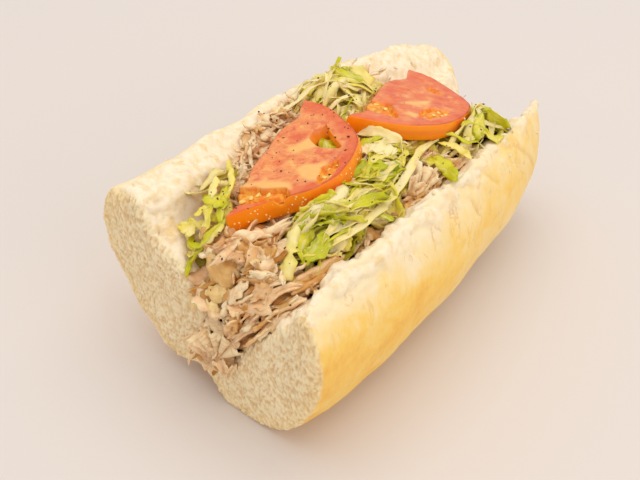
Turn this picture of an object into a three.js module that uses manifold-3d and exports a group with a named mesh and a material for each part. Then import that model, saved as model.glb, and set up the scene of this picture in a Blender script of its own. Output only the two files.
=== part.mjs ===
// Half of a long sandwich roll, split lengthwise and opened into a V, filled with chopped
// chicken and onion, shredded lettuce and two half slices of tomato.
// Millimetres, +Z up. Y runs lengthwise from the cut end to the roll's rounded end.
import * as THREE from "three";
import { mergeVertices } from "three/addons/utils/BufferGeometryUtils.js";
import Module from "manifold-3d";

const wasm = await Module();
wasm.setup();

// ---- driving dimensions ----

const CLEARANCE = 0.4; // between neighbouring pieces
const SECTION_POINTS = 44; // around one half of the roll
const ROLL_STATIONS = 24; // along the roll

// Each half of the roll is a closed section, as [x, z] through which a smooth curve runs. It keeps
// its size to `shoulder`, then rounds off towards `focus` at `tip` with the two powers given.
const BASE_HALF = {
  section: [
    [-33, 76.6], [-41, 71.5], [-46.4, 60], [-46.6, 50], [-42, 39], [-36.5, 27.5], [-28.5, 17.5],
    [-21, 9.6], [-10, 8], [0, 11], [8, 6], [14, 12], [13.5, 21], [9.8, 35], [6.8, 44], [1, 48.5],
    [-2.5, 56], [-10, 60], [-16.5, 63.5], [-21, 71], [-25, 76],
  ],
  shoulder: 92,
  tip: 202,
  focus: [-32, 46],
  lengthPower: 1.9,
  sizePower: 0.5,
  topPower: 1, // below 1 where the upper edge stays up longer
  sag: 9.4, // how far its underside comes down behind the cut end
  scoop: 8, // how deep the filling presses into its cut face
  lean: 0,
};
const CROWN_HALF = {
  section: [
    [52.3, 69.8], [56.8, 62.5], [59.4, 53], [59.6, 45], [57.5, 33], [52, 19.5], [45.5, 10],
    [36, 3], [24, -0.6], [14, -0.4], [6.5, 5.5], [1, 12], [4, 18], [14, 21], [19, 29],
    [26, 39.5], [34, 48.5], [42, 58.5], [48, 66.8],
  ],
  shoulder: 45,
  tip: 182,
  focus: [27, 38],
  lengthPower: 1.65,
  sizePower: 0.39,
  topPower: 0.4,
  sag: 0,
  scoop: 0,
  lean: 0.155, // how much it closes over the filling behind the cut end
};
const UNDERSIDE_KEEP = 0.8; // share of the rounding that the underside takes
const SAG_LENGTH = 55; // over which the underside comes down to the table
const SAG_TOP = 66; // height above which nothing sags
const SCOOP = { length: [16, 55], width: [-38, -26, -10, -2], floor: 50 };
const LEAN = { length: 24, pivot: 39 }; // over which a half leans, and about which height
const WAVE = { size: 0.35, length: 41 }; // unevenness of the hand-shaped roll
const SMALLEST = 0.04; // share of its section that a half keeps at its tip

// The chicken and onion fill the V and spread over the base half's cut face.
const FILLING = {
  across: [-41, 52],
  lengthwise: [0.5, 160],
  top: 67,
  front: { height: 47, slope: 1.7 }, // at the cut end, from where it climbs
  back: { height: 30, slope: 1.5 }, // at its far end
  overBase: { across: [-34, -10], lengthwise: [34, 60], height: 8 }, // heaped on the base half
  besideCrown: { across: [20, 48], depth: 5 }, // where it falls towards the crown half
  edge: { width: 6, depth: 16 }, // how it falls at its borders
  floor: { middle: 12, height: 16.5, slope: 0.42 }, // a V that stays inside the roll
  spill: { at: [9, 1, 27], radius: [13, 5.5, 13], roughness: 0.16 }, // past the cut end
};
// The two borders of the filling, as x against y.
const BASE_BORDER = [[0, -4], [10, -11], [24, -18], [41, -27], [67, -35], [116, -35], [160, -30]];
const CROWN_BORDER = [[0, 50], [110, 46], [130, 42], [160, 28]];
const LUMP_HEIGHT = 1.5; // of the uneven top of a heap

// The two heaps of shredded lettuce, each of overlapping mounds: centre, radii in plan, turn in
// degrees and top.
const LETTUCE = {
  lettuce_front: [{ at: [-12, 27], radius: [12, 25], turn: -30, top: 75 }],
  lettuce_bed: [
    { at: [24, 60], radius: [17, 50], turn: -11, top: 79 },
    { at: [2, 106], radius: [28, 40], turn: 0, top: 76 },
    { at: [-21, 104], radius: [17, 24], turn: 8, top: 82 },
    { at: [27, 124], radius: [15, 27], turn: 8, top: 76 },
  ],
};
// The mounds rise from `root`, inside their neighbours, and `low` is the ground between them.
const BED = { across: [-42, 50], lengthwise: [7, 156], root: 50, low: 38, floor: 34 };

// Half slices of tomato: middle of the cut edge on the upper face, the normal of that face, the
// direction along the cut edge, half its length, the depth, the thickness and the roundness
// (2 is an ellipse, less is more pointed).
const SLICES = {
  tomato_near: {
    at: [-10, 50.5, 76.5], normal: [-0.19, -0.14, 0.97], along: [-0.33, 0.94, 0.07],
    half: 36.5, depth: 35.5, thick: 7.5, roundness: 1.66,
    chambers: [
      { at: [-24.5, 8], radius: [4.6, 11], turn: 22 },
      { at: [-9.5, 25.5], radius: [8.2, 5.4], turn: 34 },
      { at: [10, 19], radius: [8.2, 4.6], turn: -42 },
    ],
  },
  tomato_far: {
    at: [-7, 116, 76], normal: [0, 0.195, 0.98], along: [-0.235, 0.953, -0.189],
    half: 33, depth: 37, thick: 6.5, roundness: 1.95,
    chambers: [
      { at: [-19.5, 8], radius: [4.2, 9.5], turn: 26 },
      { at: [-8, 26], radius: [8, 4.8], turn: 34 },
      { at: [15.5, 17.5], radius: [6.4, 3], turn: -56 },
    ],
  },
};
const CHAMBER_DEPTH = 1.8; // how far the seed jelly lies below the flesh
const ABOVE_SLICE = 30; // free height kept over a slice
const HEAP_STEP = 5.7; // grid of the heaps
const ARC_POINTS = 30; // along the skin of a slice
const CHAMBER_POINTS = 14;

// ---- small helpers ----

const ramp = (low, high, value) => THREE.MathUtils.smoothstep(value, low, high);

/** Straight-line reading of a table of [position, value] rows. */
function along(table, position) {
  const next = table.findIndex(([at]) => at >= position);
  if (next === 0) return table[0][1];
  if (next < 0) return table.at(-1)[1];
  const [[a, from], [b, to]] = [table[next - 1], table[next]];
  return from + ((to - from) * (position - a)) / (b - a);
}

/** A geometry with positions only, each shared. */
function shared(geometry) {
  geometry.deleteAttribute("normal");
  geometry.deleteAttribute("uv");
  return mergeVertices(geometry, 1e-4);
}

/** A closed geometry as a solid that can be joined and cut. */
function toSolid(geometry) {
  const merged = shared(geometry);
  return new wasm.Manifold(
    new wasm.Mesh({
      numProp: 3,
      vertProperties: new Float32Array(merged.attributes.position.array),
      triVerts: new Uint32Array(merged.index.array),
    }),
  );
}

/** The largest body of a solid, as a geometry. */
function toGeometry(solid) {
  const [largest] = solid.decompose().sort((a, b) => b.volume() - a.volume());
  const mesh = largest.getMesh();
  return new THREE.BufferGeometry()
    .setAttribute("position", new THREE.BufferAttribute(new Float32Array(mesh.vertProperties), 3))
    .setIndex(new THREE.BufferAttribute(new Uint32Array(mesh.triVerts), 1));
}

/** A closed body through rings of equal point count, each a list of Vector3, with flat ends. */
function loft(rings) {
  const count = rings[0].length;
  const positions = rings.flat().flatMap((p) => [p.x, p.y, p.z]);
  const index = [];
  for (let ring = 0; ring + 1 < rings.length; ring++) {
    for (let i = 0; i < count; i++) {
      const [a, b] = [ring * count + i, ring * count + ((i + 1) % count)];
      index.push(a, a + count, b, b, a + count, b + count);
    }
  }
  const capOf = (ring) =>
    THREE.ShapeUtils.triangulateShape(ring.map((p) => new THREE.Vector2(p.x, p.z)), []);
  for (const [a, b, c] of capOf(rings[0])) index.push(a, b, c);
  const last = (rings.length - 1) * count;
  for (const [a, b, c] of capOf(rings.at(-1))) index.push(last + a, last + c, last + b);
  return new THREE.BufferGeometry()
    .setAttribute("position", new THREE.BufferAttribute(new Float32Array(positions), 3))
    .setIndex(index);
}

/** A closed body between two heights over a rectangular grid. */
function heap([x0, x1], [y0, y1], topAt, bottomAt) {
  const columns = Math.round((x1 - x0) / HEAP_STEP);
  const rows = Math.round((y1 - y0) / HEAP_STEP);
  const positions = [];
  for (const heightAt of [topAt, bottomAt]) {
    for (let row = 0; row <= rows; row++) {
      for (let column = 0; column <= columns; column++) {
        const x = x0 + ((x1 - x0) * column) / columns;
        const y = y0 + ((y1 - y0) * row) / rows;
        positions.push(x, y, heightAt(x, y));
      }
    }
  }
  const layer = (columns + 1) * (rows + 1);
  const at = (column, row) => row * (columns + 1) + column;
  const index = [];
  for (let row = 0; row < rows; row++) {
    for (let column = 0; column < columns; column++) {
      const [a, b, c, d] = [
        at(column, row), at(column + 1, row), at(column + 1, row + 1), at(column, row + 1),
      ];
      index.push(a, b, c, a, c, d, layer + a, layer + c, layer + b, layer + a, layer + d, layer + c);
    }
  }
  const wall = (a, b) => index.push(a, layer + a, layer + b, a, layer + b, b);
  for (let column = 0; column < columns; column++) {
    wall(at(column, 0), at(column + 1, 0));
    wall(at(column + 1, rows), at(column, rows));
  }
  for (let row = 0; row < rows; row++) {
    wall(at(0, row + 1), at(0, row));
    wall(at(columns, row), at(columns, row + 1));
  }
  return new THREE.BufferGeometry()
    .setAttribute("position", new THREE.BufferAttribute(new Float32Array(positions), 3))
    .setIndex(index);
}

// ---- the roll ----

/** The size of a half at y, as a share of its size at the cut end. */
function sizeAt(half, y) {
  const share = THREE.MathUtils.clamp((y - half.shoulder) / (half.tip - half.shoulder), 0, 1);
  return Math.max((1 - share ** half.lengthPower) ** half.sizePower, SMALLEST);
}

/** How far the filling presses a point of the cut face down. */
function scoopAt(half, point, y) {
  const [outer, full, inner, end] = SCOOP.width;
  const across = ramp(outer, full, point.x) * (1 - ramp(inner, end, point.x));
  return point.z > SCOOP.floor ? half.scoop * across * ramp(...SCOOP.length, y) : 0;
}

/** The section points of a half, evenly spaced and moved out by `grow`. */
function sectionOf(half, grow) {
  const curve = new THREE.CatmullRomCurve3(
    half.section.map(([x, z]) => new THREE.Vector3(x, 0, z)), true, "centripetal",
  );
  const points = curve.getSpacedPoints(SECTION_POINTS).slice(0, -1);
  const turns = points.reduce((sum, p, i) => {
    const q = points[(i + 1) % points.length];
    return sum + p.x * q.z - q.x * p.z;
  }, 0);
  if (turns < 0) points.reverse();
  return points.map((p, i) => {
    const before = points.at(i - 1);
    const after = points[(i + 1) % points.length];
    const out = new THREE.Vector3(after.z - before.z, 0, before.x - after.x).normalize();
    return p.clone().addScaledVector(out, grow);
  });
}

/** A section point of a half where it belongs at a station along the roll. */
function rollPoint(half, point, y, grow) {
  const [focusX, focusZ] = half.focus;
  const size = sizeAt(half, y);
  const sag = half.sag * ramp(0, SAG_LENGTH, y) * (1 - THREE.MathUtils.clamp(point.z / SAG_TOP, 0, 1));
  const above = point.z - sag - scoopAt(half, point, y) - focusZ;
  const z = focusZ + above * (above > 0 ? size ** half.topPower : 1 + (size - 1) * UNDERSIDE_KEEP);
  const wave = WAVE.size * Math.sin((y / WAVE.length) * 2 * Math.PI) * Math.sign(point.x - focusX);
  const lean = half.lean * ramp(0, LEAN.length, y) * (LEAN.pivot - z);
  return new THREE.Vector3(
    focusX + (point.x - focusX + wave) * size + lean,
    y,
    Math.max(z, -grow),
  );
}

/** One half of the roll, larger by `grow` all over. */
function rollHalf(half, grow = 0) {
  const section = sectionOf(half, grow);
  const rings = [];
  for (let station = 0; station <= ROLL_STATIONS; station++) {
    // stations crowd towards the rounded end
    const y = half.tip * Math.sin(((station / ROLL_STATIONS) * Math.PI) / 2);
    rings.push(section.map((point) => rollPoint(half, point, y, grow)));
  }
  for (const point of rings[0]) point.y -= grow;
  for (const point of rings.at(-1)) point.y += grow;
  return toSolid(loft(rings));
}

/** The whole roll: two halves that meet at the hinge. */
const rollSolid = (grow = 0) => rollHalf(BASE_HALF, grow).add(rollHalf(CROWN_HALF, grow));

// ---- the heaps ----

/** Uneven lumps, between about -1 and 1. */
const lumps = (x, y) =>
  0.5 * Math.sin(x / 3.1 + 1.3 * Math.sin(y / 7.3)) +
  0.5 * Math.sin(y / 3.7 + 1.1 * Math.sin(x / 5.9) + 0.6);

/** Height of the chicken and onion at a place. */
function fillingTop(x, y) {
  const { top, front, back, overBase, besideCrown, edge, lengthwise } = FILLING;
  const heaped = overBase.height * (1 - ramp(...overBase.across, x)) * ramp(...overBase.lengthwise, y);
  const level = Math.min(
    top + heaped - besideCrown.depth * ramp(...besideCrown.across, x),
    front.height + front.slope * y,
    back.height + back.slope * (lengthwise[1] - y),
  );
  const baseBorder = along(BASE_BORDER, y);
  const crownBorder = along(CROWN_BORDER, y);
  const inner = edge.width / 3;
  const outer = edge.width - inner;
  const falls =
    1 - ramp(baseBorder - inner, baseBorder + outer, x) +
    ramp(crownBorder - outer, crownBorder + inner, x);
  return level + LUMP_HEIGHT * lumps(x, y) - edge.depth * falls;
}

/** Height of the floor under the chicken and onion. */
const fillingFloor = (x) =>
  FILLING.floor.height + FILLING.floor.slope * Math.abs(x - FILLING.floor.middle);

/** The chicken and onion, larger by `grow`, before the roll is cut away from it. */
function fillingSolid(grow = 0) {
  const { across, lengthwise, spill } = FILLING;
  const mound = heap(across, lengthwise, (x, y) => fillingTop(x, y) + 2 * grow, fillingFloor);
  const bulge = shared(new THREE.SphereGeometry(1, 16, 9));
  const position = bulge.getAttribute("position");
  const radius = spill.radius.map((size) => size + grow);
  for (let i = 0; i < position.count; i++) {
    const [x, y, z] = [position.getX(i), position.getY(i), position.getZ(i)];
    const rough = 1 + spill.roughness * Math.sin(5 * x + 2 * z) * Math.cos(4 * z - 3 * x + 1);
    position.setXYZ(
      i,
      spill.at[0] + radius[0] * x * rough,
      spill.at[1] + radius[1] * y,
      spill.at[2] + radius[2] * z * rough,
    );
  }
  return toSolid(mound).add(toSolid(bulge));
}

/** Height of a heap of lettuce at a place. */
function lettuceTop(mounds, x, y) {
  let height = BED.low;
  for (const { at, radius, turn, top } of mounds) {
    const angle = THREE.MathUtils.degToRad(turn);
    const [dx, dy] = [x - at[0], y - at[1]];
    const u = (dx * Math.cos(angle) - dy * Math.sin(angle)) / radius[0];
    const v = (dx * Math.sin(angle) + dy * Math.cos(angle)) / radius[1];
    const dome = Math.sqrt(Math.max(1 - (u * u + v * v) ** 1.5, 0));
    if (dome > 0) height = Math.max(height, BED.root + (top - BED.root) * dome);
  }
  return height + LUMP_HEIGHT * lumps(y + 9, x - 4);
}

/** A heap of lettuce, raised and deepened by `grow`, before its neighbours are cut away. */
const lettuceSolid = (mounds, grow = 0) =>
  toSolid(
    heap(
      BED.across, BED.lengthwise,
      (x, y) => lettuceTop(mounds, x, y) + 2 * grow,
      () => BED.floor - 2 * grow,
    ),
  );

// ---- the tomato ----

/** The matrix that stands a slice in its place: x along the cut edge, y across, z out of it. */
function slicePlace(slice) {
  const z = new THREE.Vector3(...slice.normal).normalize();
  const x = new THREE.Vector3(...slice.along);
  x.addScaledVector(z, -x.dot(z)).normalize();
  const y = new THREE.Vector3().crossVectors(x, z);
  return { x, y, z, at: new THREE.Vector3(...slice.at) };
}

/** A flat body with a given outline between two heights, in the slice's own directions. */
function slab(outline, low, high, place) {
  const geometry = new THREE.ExtrudeGeometry(new THREE.Shape(outline), {
    depth: high - low, bevelEnabled: false, steps: 1,
  });
  const position = geometry.getAttribute("position");
  for (let i = 0; i < position.count; i++) {
    const point = place.at.clone()
      .addScaledVector(place.x, position.getX(i))
      .addScaledVector(place.y, position.getY(i))
      .addScaledVector(place.z, position.getZ(i) + low);
    position.setXYZ(i, point.x, point.y, point.z);
  }
  // the slice's directions are left-handed, so its faces are turned round
  const closed = shared(geometry);
  const order = closed.index.array;
  for (let i = 0; i < order.length; i += 3) [order[i + 1], order[i + 2]] = [order[i + 2], order[i + 1]];
  return toSolid(closed);
}

/** Half-moon outline of a slice, moved out by `grow`. */
function halfMoon({ half, depth, roundness }, grow = 0) {
  const points = [];
  const power = 2 / roundness;
  for (let i = 0; i <= ARC_POINTS; i++) {
    const angle = (i / ARC_POINTS) * Math.PI;
    const across = Math.sign(Math.cos(angle)) * Math.abs(Math.cos(angle)) ** power;
    points.push(
      new THREE.Vector2((half + grow) * across, (depth + grow) * Math.sin(angle) ** power - grow),
    );
  }
  return points;
}

/** Outline of a seed chamber. */
function chamberOutline({ at, radius, turn }) {
  const angle = THREE.MathUtils.degToRad(turn);
  return Array.from({ length: CHAMBER_POINTS }, (_, i) => {
    const around = (i / CHAMBER_POINTS) * 2 * Math.PI;
    const [u, v] = [radius[0] * Math.cos(around), radius[1] * Math.sin(around)];
    return new THREE.Vector2(
      at[0] + u * Math.cos(angle) - v * Math.sin(angle),
      at[1] + u * Math.sin(angle) + v * Math.cos(angle),
    );
  });
}

/** A half slice of tomato: flesh with shallow seed chambers in its upper face. */
function tomatoSolid(slice) {
  const place = slicePlace(slice);
  let body = slab(halfMoon(slice), -slice.thick, 0, place);
  for (const chamber of slice.chambers) {
    body = body.subtract(slab(chamberOutline(chamber), -CHAMBER_DEPTH, 1, place));
  }
  return body;
}

/** The room that a slice needs. */
const tomatoRoom = (slice) =>
  slab(halfMoon(slice, CLEARANCE), -slice.thick - CLEARANCE, ABOVE_SLICE, slicePlace(slice));

// ---- materials and assembly ----

const finish = (color, roughness) =>
  new THREE.MeshStandardMaterial({ color, roughness, metalness: 0 });
const CRUST = finish(0xf0bf72, 0.6);
const CHICKEN = finish(0xcfae8c, 0.5);
const GREEN = finish(0xc3cf7e, 0.4);
const TOMATO = finish(0xe2673c, 0.25);

/** A named mesh of a solid. */
function piece(name, solid, material) {
  const mesh = new THREE.Mesh(toGeometry(solid), material);
  mesh.name = name;
  return mesh;
}

const clearOf = (solid, others) => others.reduce((left, other) => left.subtract(other), solid);
const rollRoom = rollSolid(CLEARANCE);
const tomatoRooms = Object.values(SLICES).map(tomatoRoom);
const fillingRoom = fillingSolid(CLEARANCE);
const bedRoom = lettuceSolid(LETTUCE.lettuce_bed, CLEARANCE);

const sandwich = new THREE.Group();
sandwich.add(
  piece("roll", rollSolid(), CRUST),
  piece("chicken_filling", clearOf(fillingSolid(), [rollRoom, ...tomatoRooms]), CHICKEN),
);
for (const [name, mounds] of Object.entries(LETTUCE)) {
  const others = [rollRoom, fillingRoom, ...tomatoRooms];
  if (name !== "lettuce_bed") others.push(bedRoom);
  sandwich.add(piece(name, clearOf(lettuceSolid(mounds), others), GREEN));
}
for (const [name, slice] of Object.entries(SLICES)) {
  sandwich.add(piece(name, tomatoSolid(slice), TOMATO));
}

// The origin is the middle of the underside.
const box = new THREE.Box3().setFromObject(sandwich);
const middle = box.getCenter(new THREE.Vector3());
sandwich.position.set(-middle.x, -middle.y, -box.min.z);

const model = new THREE.Group();
model.add(sandwich);
export default model;
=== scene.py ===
"""Looks of half a submarine sandwich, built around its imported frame.

Everything is in metres in the frame of the model: +Z is up, +Y runs along the roll from its
cut end to its rounded end, and +X points to the half with the rounded crust.
"""

import logging
import math
from collections.abc import Callable, Iterable
from dataclasses import dataclass, replace
from enum import Enum

import bmesh
import bpy
import numpy as np
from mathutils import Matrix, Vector
from mathutils.bvhtree import BVHTree
from mathutils.kdtree import KDTree


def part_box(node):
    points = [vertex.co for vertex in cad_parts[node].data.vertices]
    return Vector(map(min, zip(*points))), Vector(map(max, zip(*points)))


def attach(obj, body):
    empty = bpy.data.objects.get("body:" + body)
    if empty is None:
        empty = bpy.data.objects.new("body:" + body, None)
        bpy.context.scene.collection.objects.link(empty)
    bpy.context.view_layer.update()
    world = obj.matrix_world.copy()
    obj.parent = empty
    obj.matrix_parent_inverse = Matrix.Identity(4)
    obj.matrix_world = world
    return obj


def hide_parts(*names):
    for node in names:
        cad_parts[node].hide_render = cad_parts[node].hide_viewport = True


LOG = logging.getLogger("sandwich")
MM = 0.001
Array = np.ndarray
Chances = np.random.Generator
Mesh = bpy.types.Mesh
Object = bpy.types.Object
Material = bpy.types.Material
Socket = bpy.types.NodeSocket
Colour = tuple[float, float, float]
Place = tuple[float, float, float]
Pair = tuple[float, float]
Outline = tuple[Pair, ...]
Spots = list[tuple[Array, Array]]
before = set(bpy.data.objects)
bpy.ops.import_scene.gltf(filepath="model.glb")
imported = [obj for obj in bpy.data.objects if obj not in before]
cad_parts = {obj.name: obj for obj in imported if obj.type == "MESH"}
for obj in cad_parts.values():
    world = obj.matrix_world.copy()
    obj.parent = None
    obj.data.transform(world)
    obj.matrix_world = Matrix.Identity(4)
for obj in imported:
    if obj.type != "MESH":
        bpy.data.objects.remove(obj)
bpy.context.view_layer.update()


class Slot(Enum):
    """Material slots: bread, chicken, lettuce and tomato."""

    BREAD = "bread"
    CHICKEN = "chicken"
    LETTUCE = "lettuce"
    TOMATO = "tomato"


# ---- numbers and arrays ----


def ramp(low: float, high: float, value: Array) -> Array:
    """Smooth step from 0 at low to 1 at high, which lies below low where the step falls."""
    share = np.clip((value - low) / (high - low), 0.0, 1.0)
    return share * share * (3.0 - 2.0 * share)


def mix(first: Array, second: Array, share: Array) -> Array:
    """Straight blend from first at share 0 to second at share 1."""
    return first + (second - first) * share


def unit(vectors: Array) -> Array:
    """The vectors at length 1."""
    return vectors / np.maximum(np.linalg.norm(vectors, axis=-1, keepdims=True), 1e-12)


def srgb(red: int, green: int, blue: int) -> Colour:
    """A colour given as 0 to 255 display values, as the linear values that shaders take."""
    shares = [value / 255.0 for value in (red, green, blue)]
    return tuple(s / 12.92 if s <= 0.04045 else ((s + 0.055) / 1.055) ** 2.4 for s in shares)


class Noise:
    """Smooth gradient noise, the same on every run."""

    def __init__(self, seed: int) -> None:
        """Shuffles the lattice.

        Args:
            seed: picks the pattern.
        """
        rng = np.random.default_rng(seed)
        self.order = rng.permutation(256)
        self.gradients = unit(rng.normal(size=(256, 3)))

    def sample(self, points: Array, size: float | Array) -> Array:
        """Noise of about -1 to 1.

        Args:
            points: rows of x, y, z.
            size: the size of its features, one number or one for each axis.

        Returns:
            One value for each row.
        """
        places = points / size
        cell = np.floor(places).astype(int)
        inside = places - cell
        fade = inside**3 * (inside * (inside * 6 - 15) + 10)
        total = np.zeros(len(points))
        for corner in np.ndindex(2, 2, 2):
            offset = np.array(corner)
            key = (cell + offset) & 255
            index = self.order[key[:, 0]]
            index = self.order[(index + key[:, 1]) & 255]
            index = self.order[(index + key[:, 2]) & 255]
            weight = np.prod(np.where(offset, fade, 1 - fade), axis=1)
            total += weight * np.einsum("ij,ij->i", self.gradients[index], inside - offset)
        return 1.6 * total

    def fractal(self, points: Array, size: float | Array, octaves: int = 3) -> Array:
        """Noise with finer noise on it, each octave half as large and half as strong.

        Args:
            points: rows of x, y, z.
            size: the size of its largest features.
            octaves: how many layers it has.

        Returns:
            One value for each row.
        """
        total = np.zeros(len(points))
        for octave in range(octaves):
            shifted = points + 31.7 * octave * np.asarray(size)
            total += self.sample(shifted, np.asarray(size) / 2**octave) / 2**octave
        return total


# ---- meshes ----


def rows_of(items: Iterable, name: str, width: int, kind: type = float) -> Array:
    """One property of all the vertices, normals or edges of a mesh.

    Args:
        items: what holds it.
        name: of the property.
        width: how many numbers each item has.
        kind: of the numbers.

    Returns:
        One row for each item.
    """
    flat = np.empty(len(items) * width, dtype=kind)
    items.foreach_get(name, flat)
    return flat.reshape(-1, width)


def coordinates(mesh: Mesh) -> Array:
    """The vertices of a mesh as rows of x, y, z."""
    return rows_of(mesh.vertices, "co", 3)


def vertex_normals(mesh: Mesh) -> Array:
    """The vertex normals of a mesh."""
    return rows_of(mesh.vertex_normals, "vector", 3)


def place_vertices(mesh: Mesh, places: Array) -> None:
    """Moves the vertices of a mesh."""
    mesh.vertices.foreach_set("co", places.ravel())
    mesh.update()


def edge_ends(mesh: Mesh) -> Array:
    """The two vertex numbers of each edge."""
    return rows_of(mesh.edges, "vertices", 2, int)


def set_attribute(mesh: Mesh, name: str, values: Array) -> None:
    """Stores one number for each vertex, for the material to read."""
    layer = mesh.attributes.new(name, "FLOAT", "POINT")
    layer.data.foreach_set("value", values.astype(np.float32))


def relaxed(values: Array, ends: Array, passes: int, share: float | Array = 0.5) -> Array:
    """Vertex values averaged with their neighbours.

    Args:
        values: one row for each vertex.
        ends: the vertex numbers of the edges to average along.
        passes: how many times.
        share: how far each pass goes, one number or one for each row.

    Returns:
        The averaged rows.
    """
    count = len(values)
    degree = np.bincount(ends.ravel(), minlength=count)[:, None]
    rows = values.reshape(count, -1).astype(float)
    for _ in range(passes):
        total = np.empty_like(rows)
        for column in range(rows.shape[1]):
            one = rows[:, column]
            total[:, column] = np.bincount(ends[:, 0], one[ends[:, 1]], count)
            total[:, column] += np.bincount(ends[:, 1], one[ends[:, 0]], count)
        mean = total / np.maximum(degree, 1)
        rows = np.where(degree == 0, rows, rows + (mean - rows) * share)
    return rows.reshape(values.shape)


def distance_to_line(places: Array, line: Array) -> Array:
    """How far places lie from a line through a few points.

    Args:
        places: rows of places.
        line: rows of points.

    Returns:
        A distance for each place.
    """
    nearest = np.full(len(places), np.inf)
    for start, stop in zip(line[:-1], line[1:]):
        span = stop - start
        share = np.clip((places - start) @ span / (span @ span), 0.0, 1.0)
        nearest = np.minimum(nearest, np.linalg.norm(places - start - share[:, None] * span, axis=1))
    return nearest


def smooth_line(points: Array, count: int) -> Array:
    """Evenly spaced places along a smooth curve through points.

    Args:
        points: rows to pass through.
        count: how many places to return.

    Returns:
        The places, the first and last points included.
    """
    padded = np.concatenate([[2 * points[0] - points[1]], points, [2 * points[-1] - points[-2]]])
    fine_steps = 12
    share = np.linspace(0, 1, fine_steps, endpoint=False)[:, None]
    pieces = []
    for a, b, c, d in zip(padded, padded[1:], padded[2:], padded[3:]):
        bend = (2 * a - 5 * b + 4 * c - d) * share**2 + (3 * b - a - 3 * c + d) * share**3
        pieces.append(0.5 * (2 * b + (c - a) * share + bend))
    curve = np.concatenate([*pieces, points[-1:]])
    walked = np.concatenate([[0.0], np.cumsum(np.linalg.norm(np.diff(curve, axis=0), axis=1))])
    at = np.linspace(0, walked[-1], count)
    return np.stack([np.interp(at, walked, column) for column in curve.T], axis=1)


def depth_inside(places: Array, outline: Array) -> Array:
    """How far flat places lie inside a closed outline.

    Args:
        places: rows of two numbers.
        outline: rows of points around it.

    Returns:
        A distance to the outline for each place, negative outside it.
    """
    near = distance_to_line(places, np.concatenate([outline, outline[:1]]))
    inside = np.zeros(len(places), dtype=bool)
    for start, stop in zip(outline, np.roll(outline, -1, axis=0)):
        spans = (start[1] > places[:, 1]) != (stop[1] > places[:, 1])
        rise = (places[:, 1] - start[1]) / (stop[1] - start[1] if stop[1] != start[1] else 1.0)
        inside ^= spans & (places[:, 0] < start[0] + rise * (stop[0] - start[0]))
    return np.where(inside, near, -near)


def linked(name: str, data: bpy.types.ID) -> Object:
    """A new object in the scene that shows a mesh, a light or a camera.

    Args:
        name: of the object.
        data: what it shows.

    Returns:
        The object.
    """
    made = bpy.data.objects.new(name, data)
    bpy.context.scene.collection.objects.link(made)
    return made


def new_object(name: str, mesh: Mesh, material: Material) -> Object:
    """Links a smooth-shaded object.

    Args:
        name: of the object and its mesh.
        mesh: its shape.
        material: its finish.

    Returns:
        The object.
    """
    mesh.name = name
    mesh.materials.clear()
    mesh.materials.append(material)
    mesh.polygons.foreach_set("use_smooth", np.ones(len(mesh.polygons), dtype=bool))
    return linked(name, mesh)


def mesh_of(vertices: Array, *groups: Array) -> Mesh:
    """A mesh from rows of vertices and groups of faces.

    Args:
        vertices: rows of x, y, z.
        groups: rows of vertex numbers, alike in length within a group.

    Returns:
        A new mesh.
    """
    corners = np.concatenate([faces.ravel() for faces in groups])
    lengths = np.concatenate([np.full(len(faces), faces.shape[1]) for faces in groups])
    mesh = bpy.data.meshes.new("made")
    mesh.vertices.add(len(vertices))
    mesh.vertices.foreach_set("co", vertices.ravel())
    mesh.loops.add(len(corners))
    mesh.loops.foreach_set("vertex_index", corners)
    mesh.polygons.add(len(lengths))
    mesh.polygons.foreach_set("loop_start", np.cumsum(lengths) - lengths)
    mesh.update(calc_edges=True)
    mesh.validate()
    return mesh


def wall_quads(levels: int, around: int) -> Array:
    """Quads between rings of vertices that follow one another.

    Args:
        levels: how many rings there are.
        around: how many vertices each has.

    Returns:
        Rows of vertex numbers.
    """
    here = np.arange(around)
    after = np.roll(here, -1)
    ring = np.stack([here, here + around, after + around, after], axis=1)
    return np.concatenate([ring + level * around for level in range(levels - 1)])


def cap_triangles(level: int, around: int, tip: int) -> Array:
    """Triangles between one of some rings of vertices and a single vertex, the tip."""
    here = level * around + np.arange(around)
    return np.stack([np.full(around, tip), here, np.roll(here, -1)], axis=1)


def carved(mesh: Mesh, tool_mesh: Mesh) -> Mesh:
    """What is left of a closed mesh where another one is cut out of it.

    Args:
        mesh: the body.
        tool_mesh: what is cut out.

    Returns:
        A new mesh.
    """
    body, tool = linked("body", mesh), linked("tool", tool_mesh)
    for part in (body, tool):
        work = bmesh.new()
        work.from_mesh(part.data)
        bmesh.ops.recalc_face_normals(work, faces=work.faces)
        work.to_mesh(part.data)
        work.free()
    modifier = body.modifiers.new("cut", "BOOLEAN")
    modifier.operation = "DIFFERENCE"
    modifier.solver = "EXACT"
    modifier.object = tool
    graph = bpy.context.evaluated_depsgraph_get()
    left = bpy.data.meshes.new_from_object(body.evaluated_get(graph))
    bpy.data.objects.remove(body)
    bpy.data.objects.remove(tool)
    return left


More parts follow.
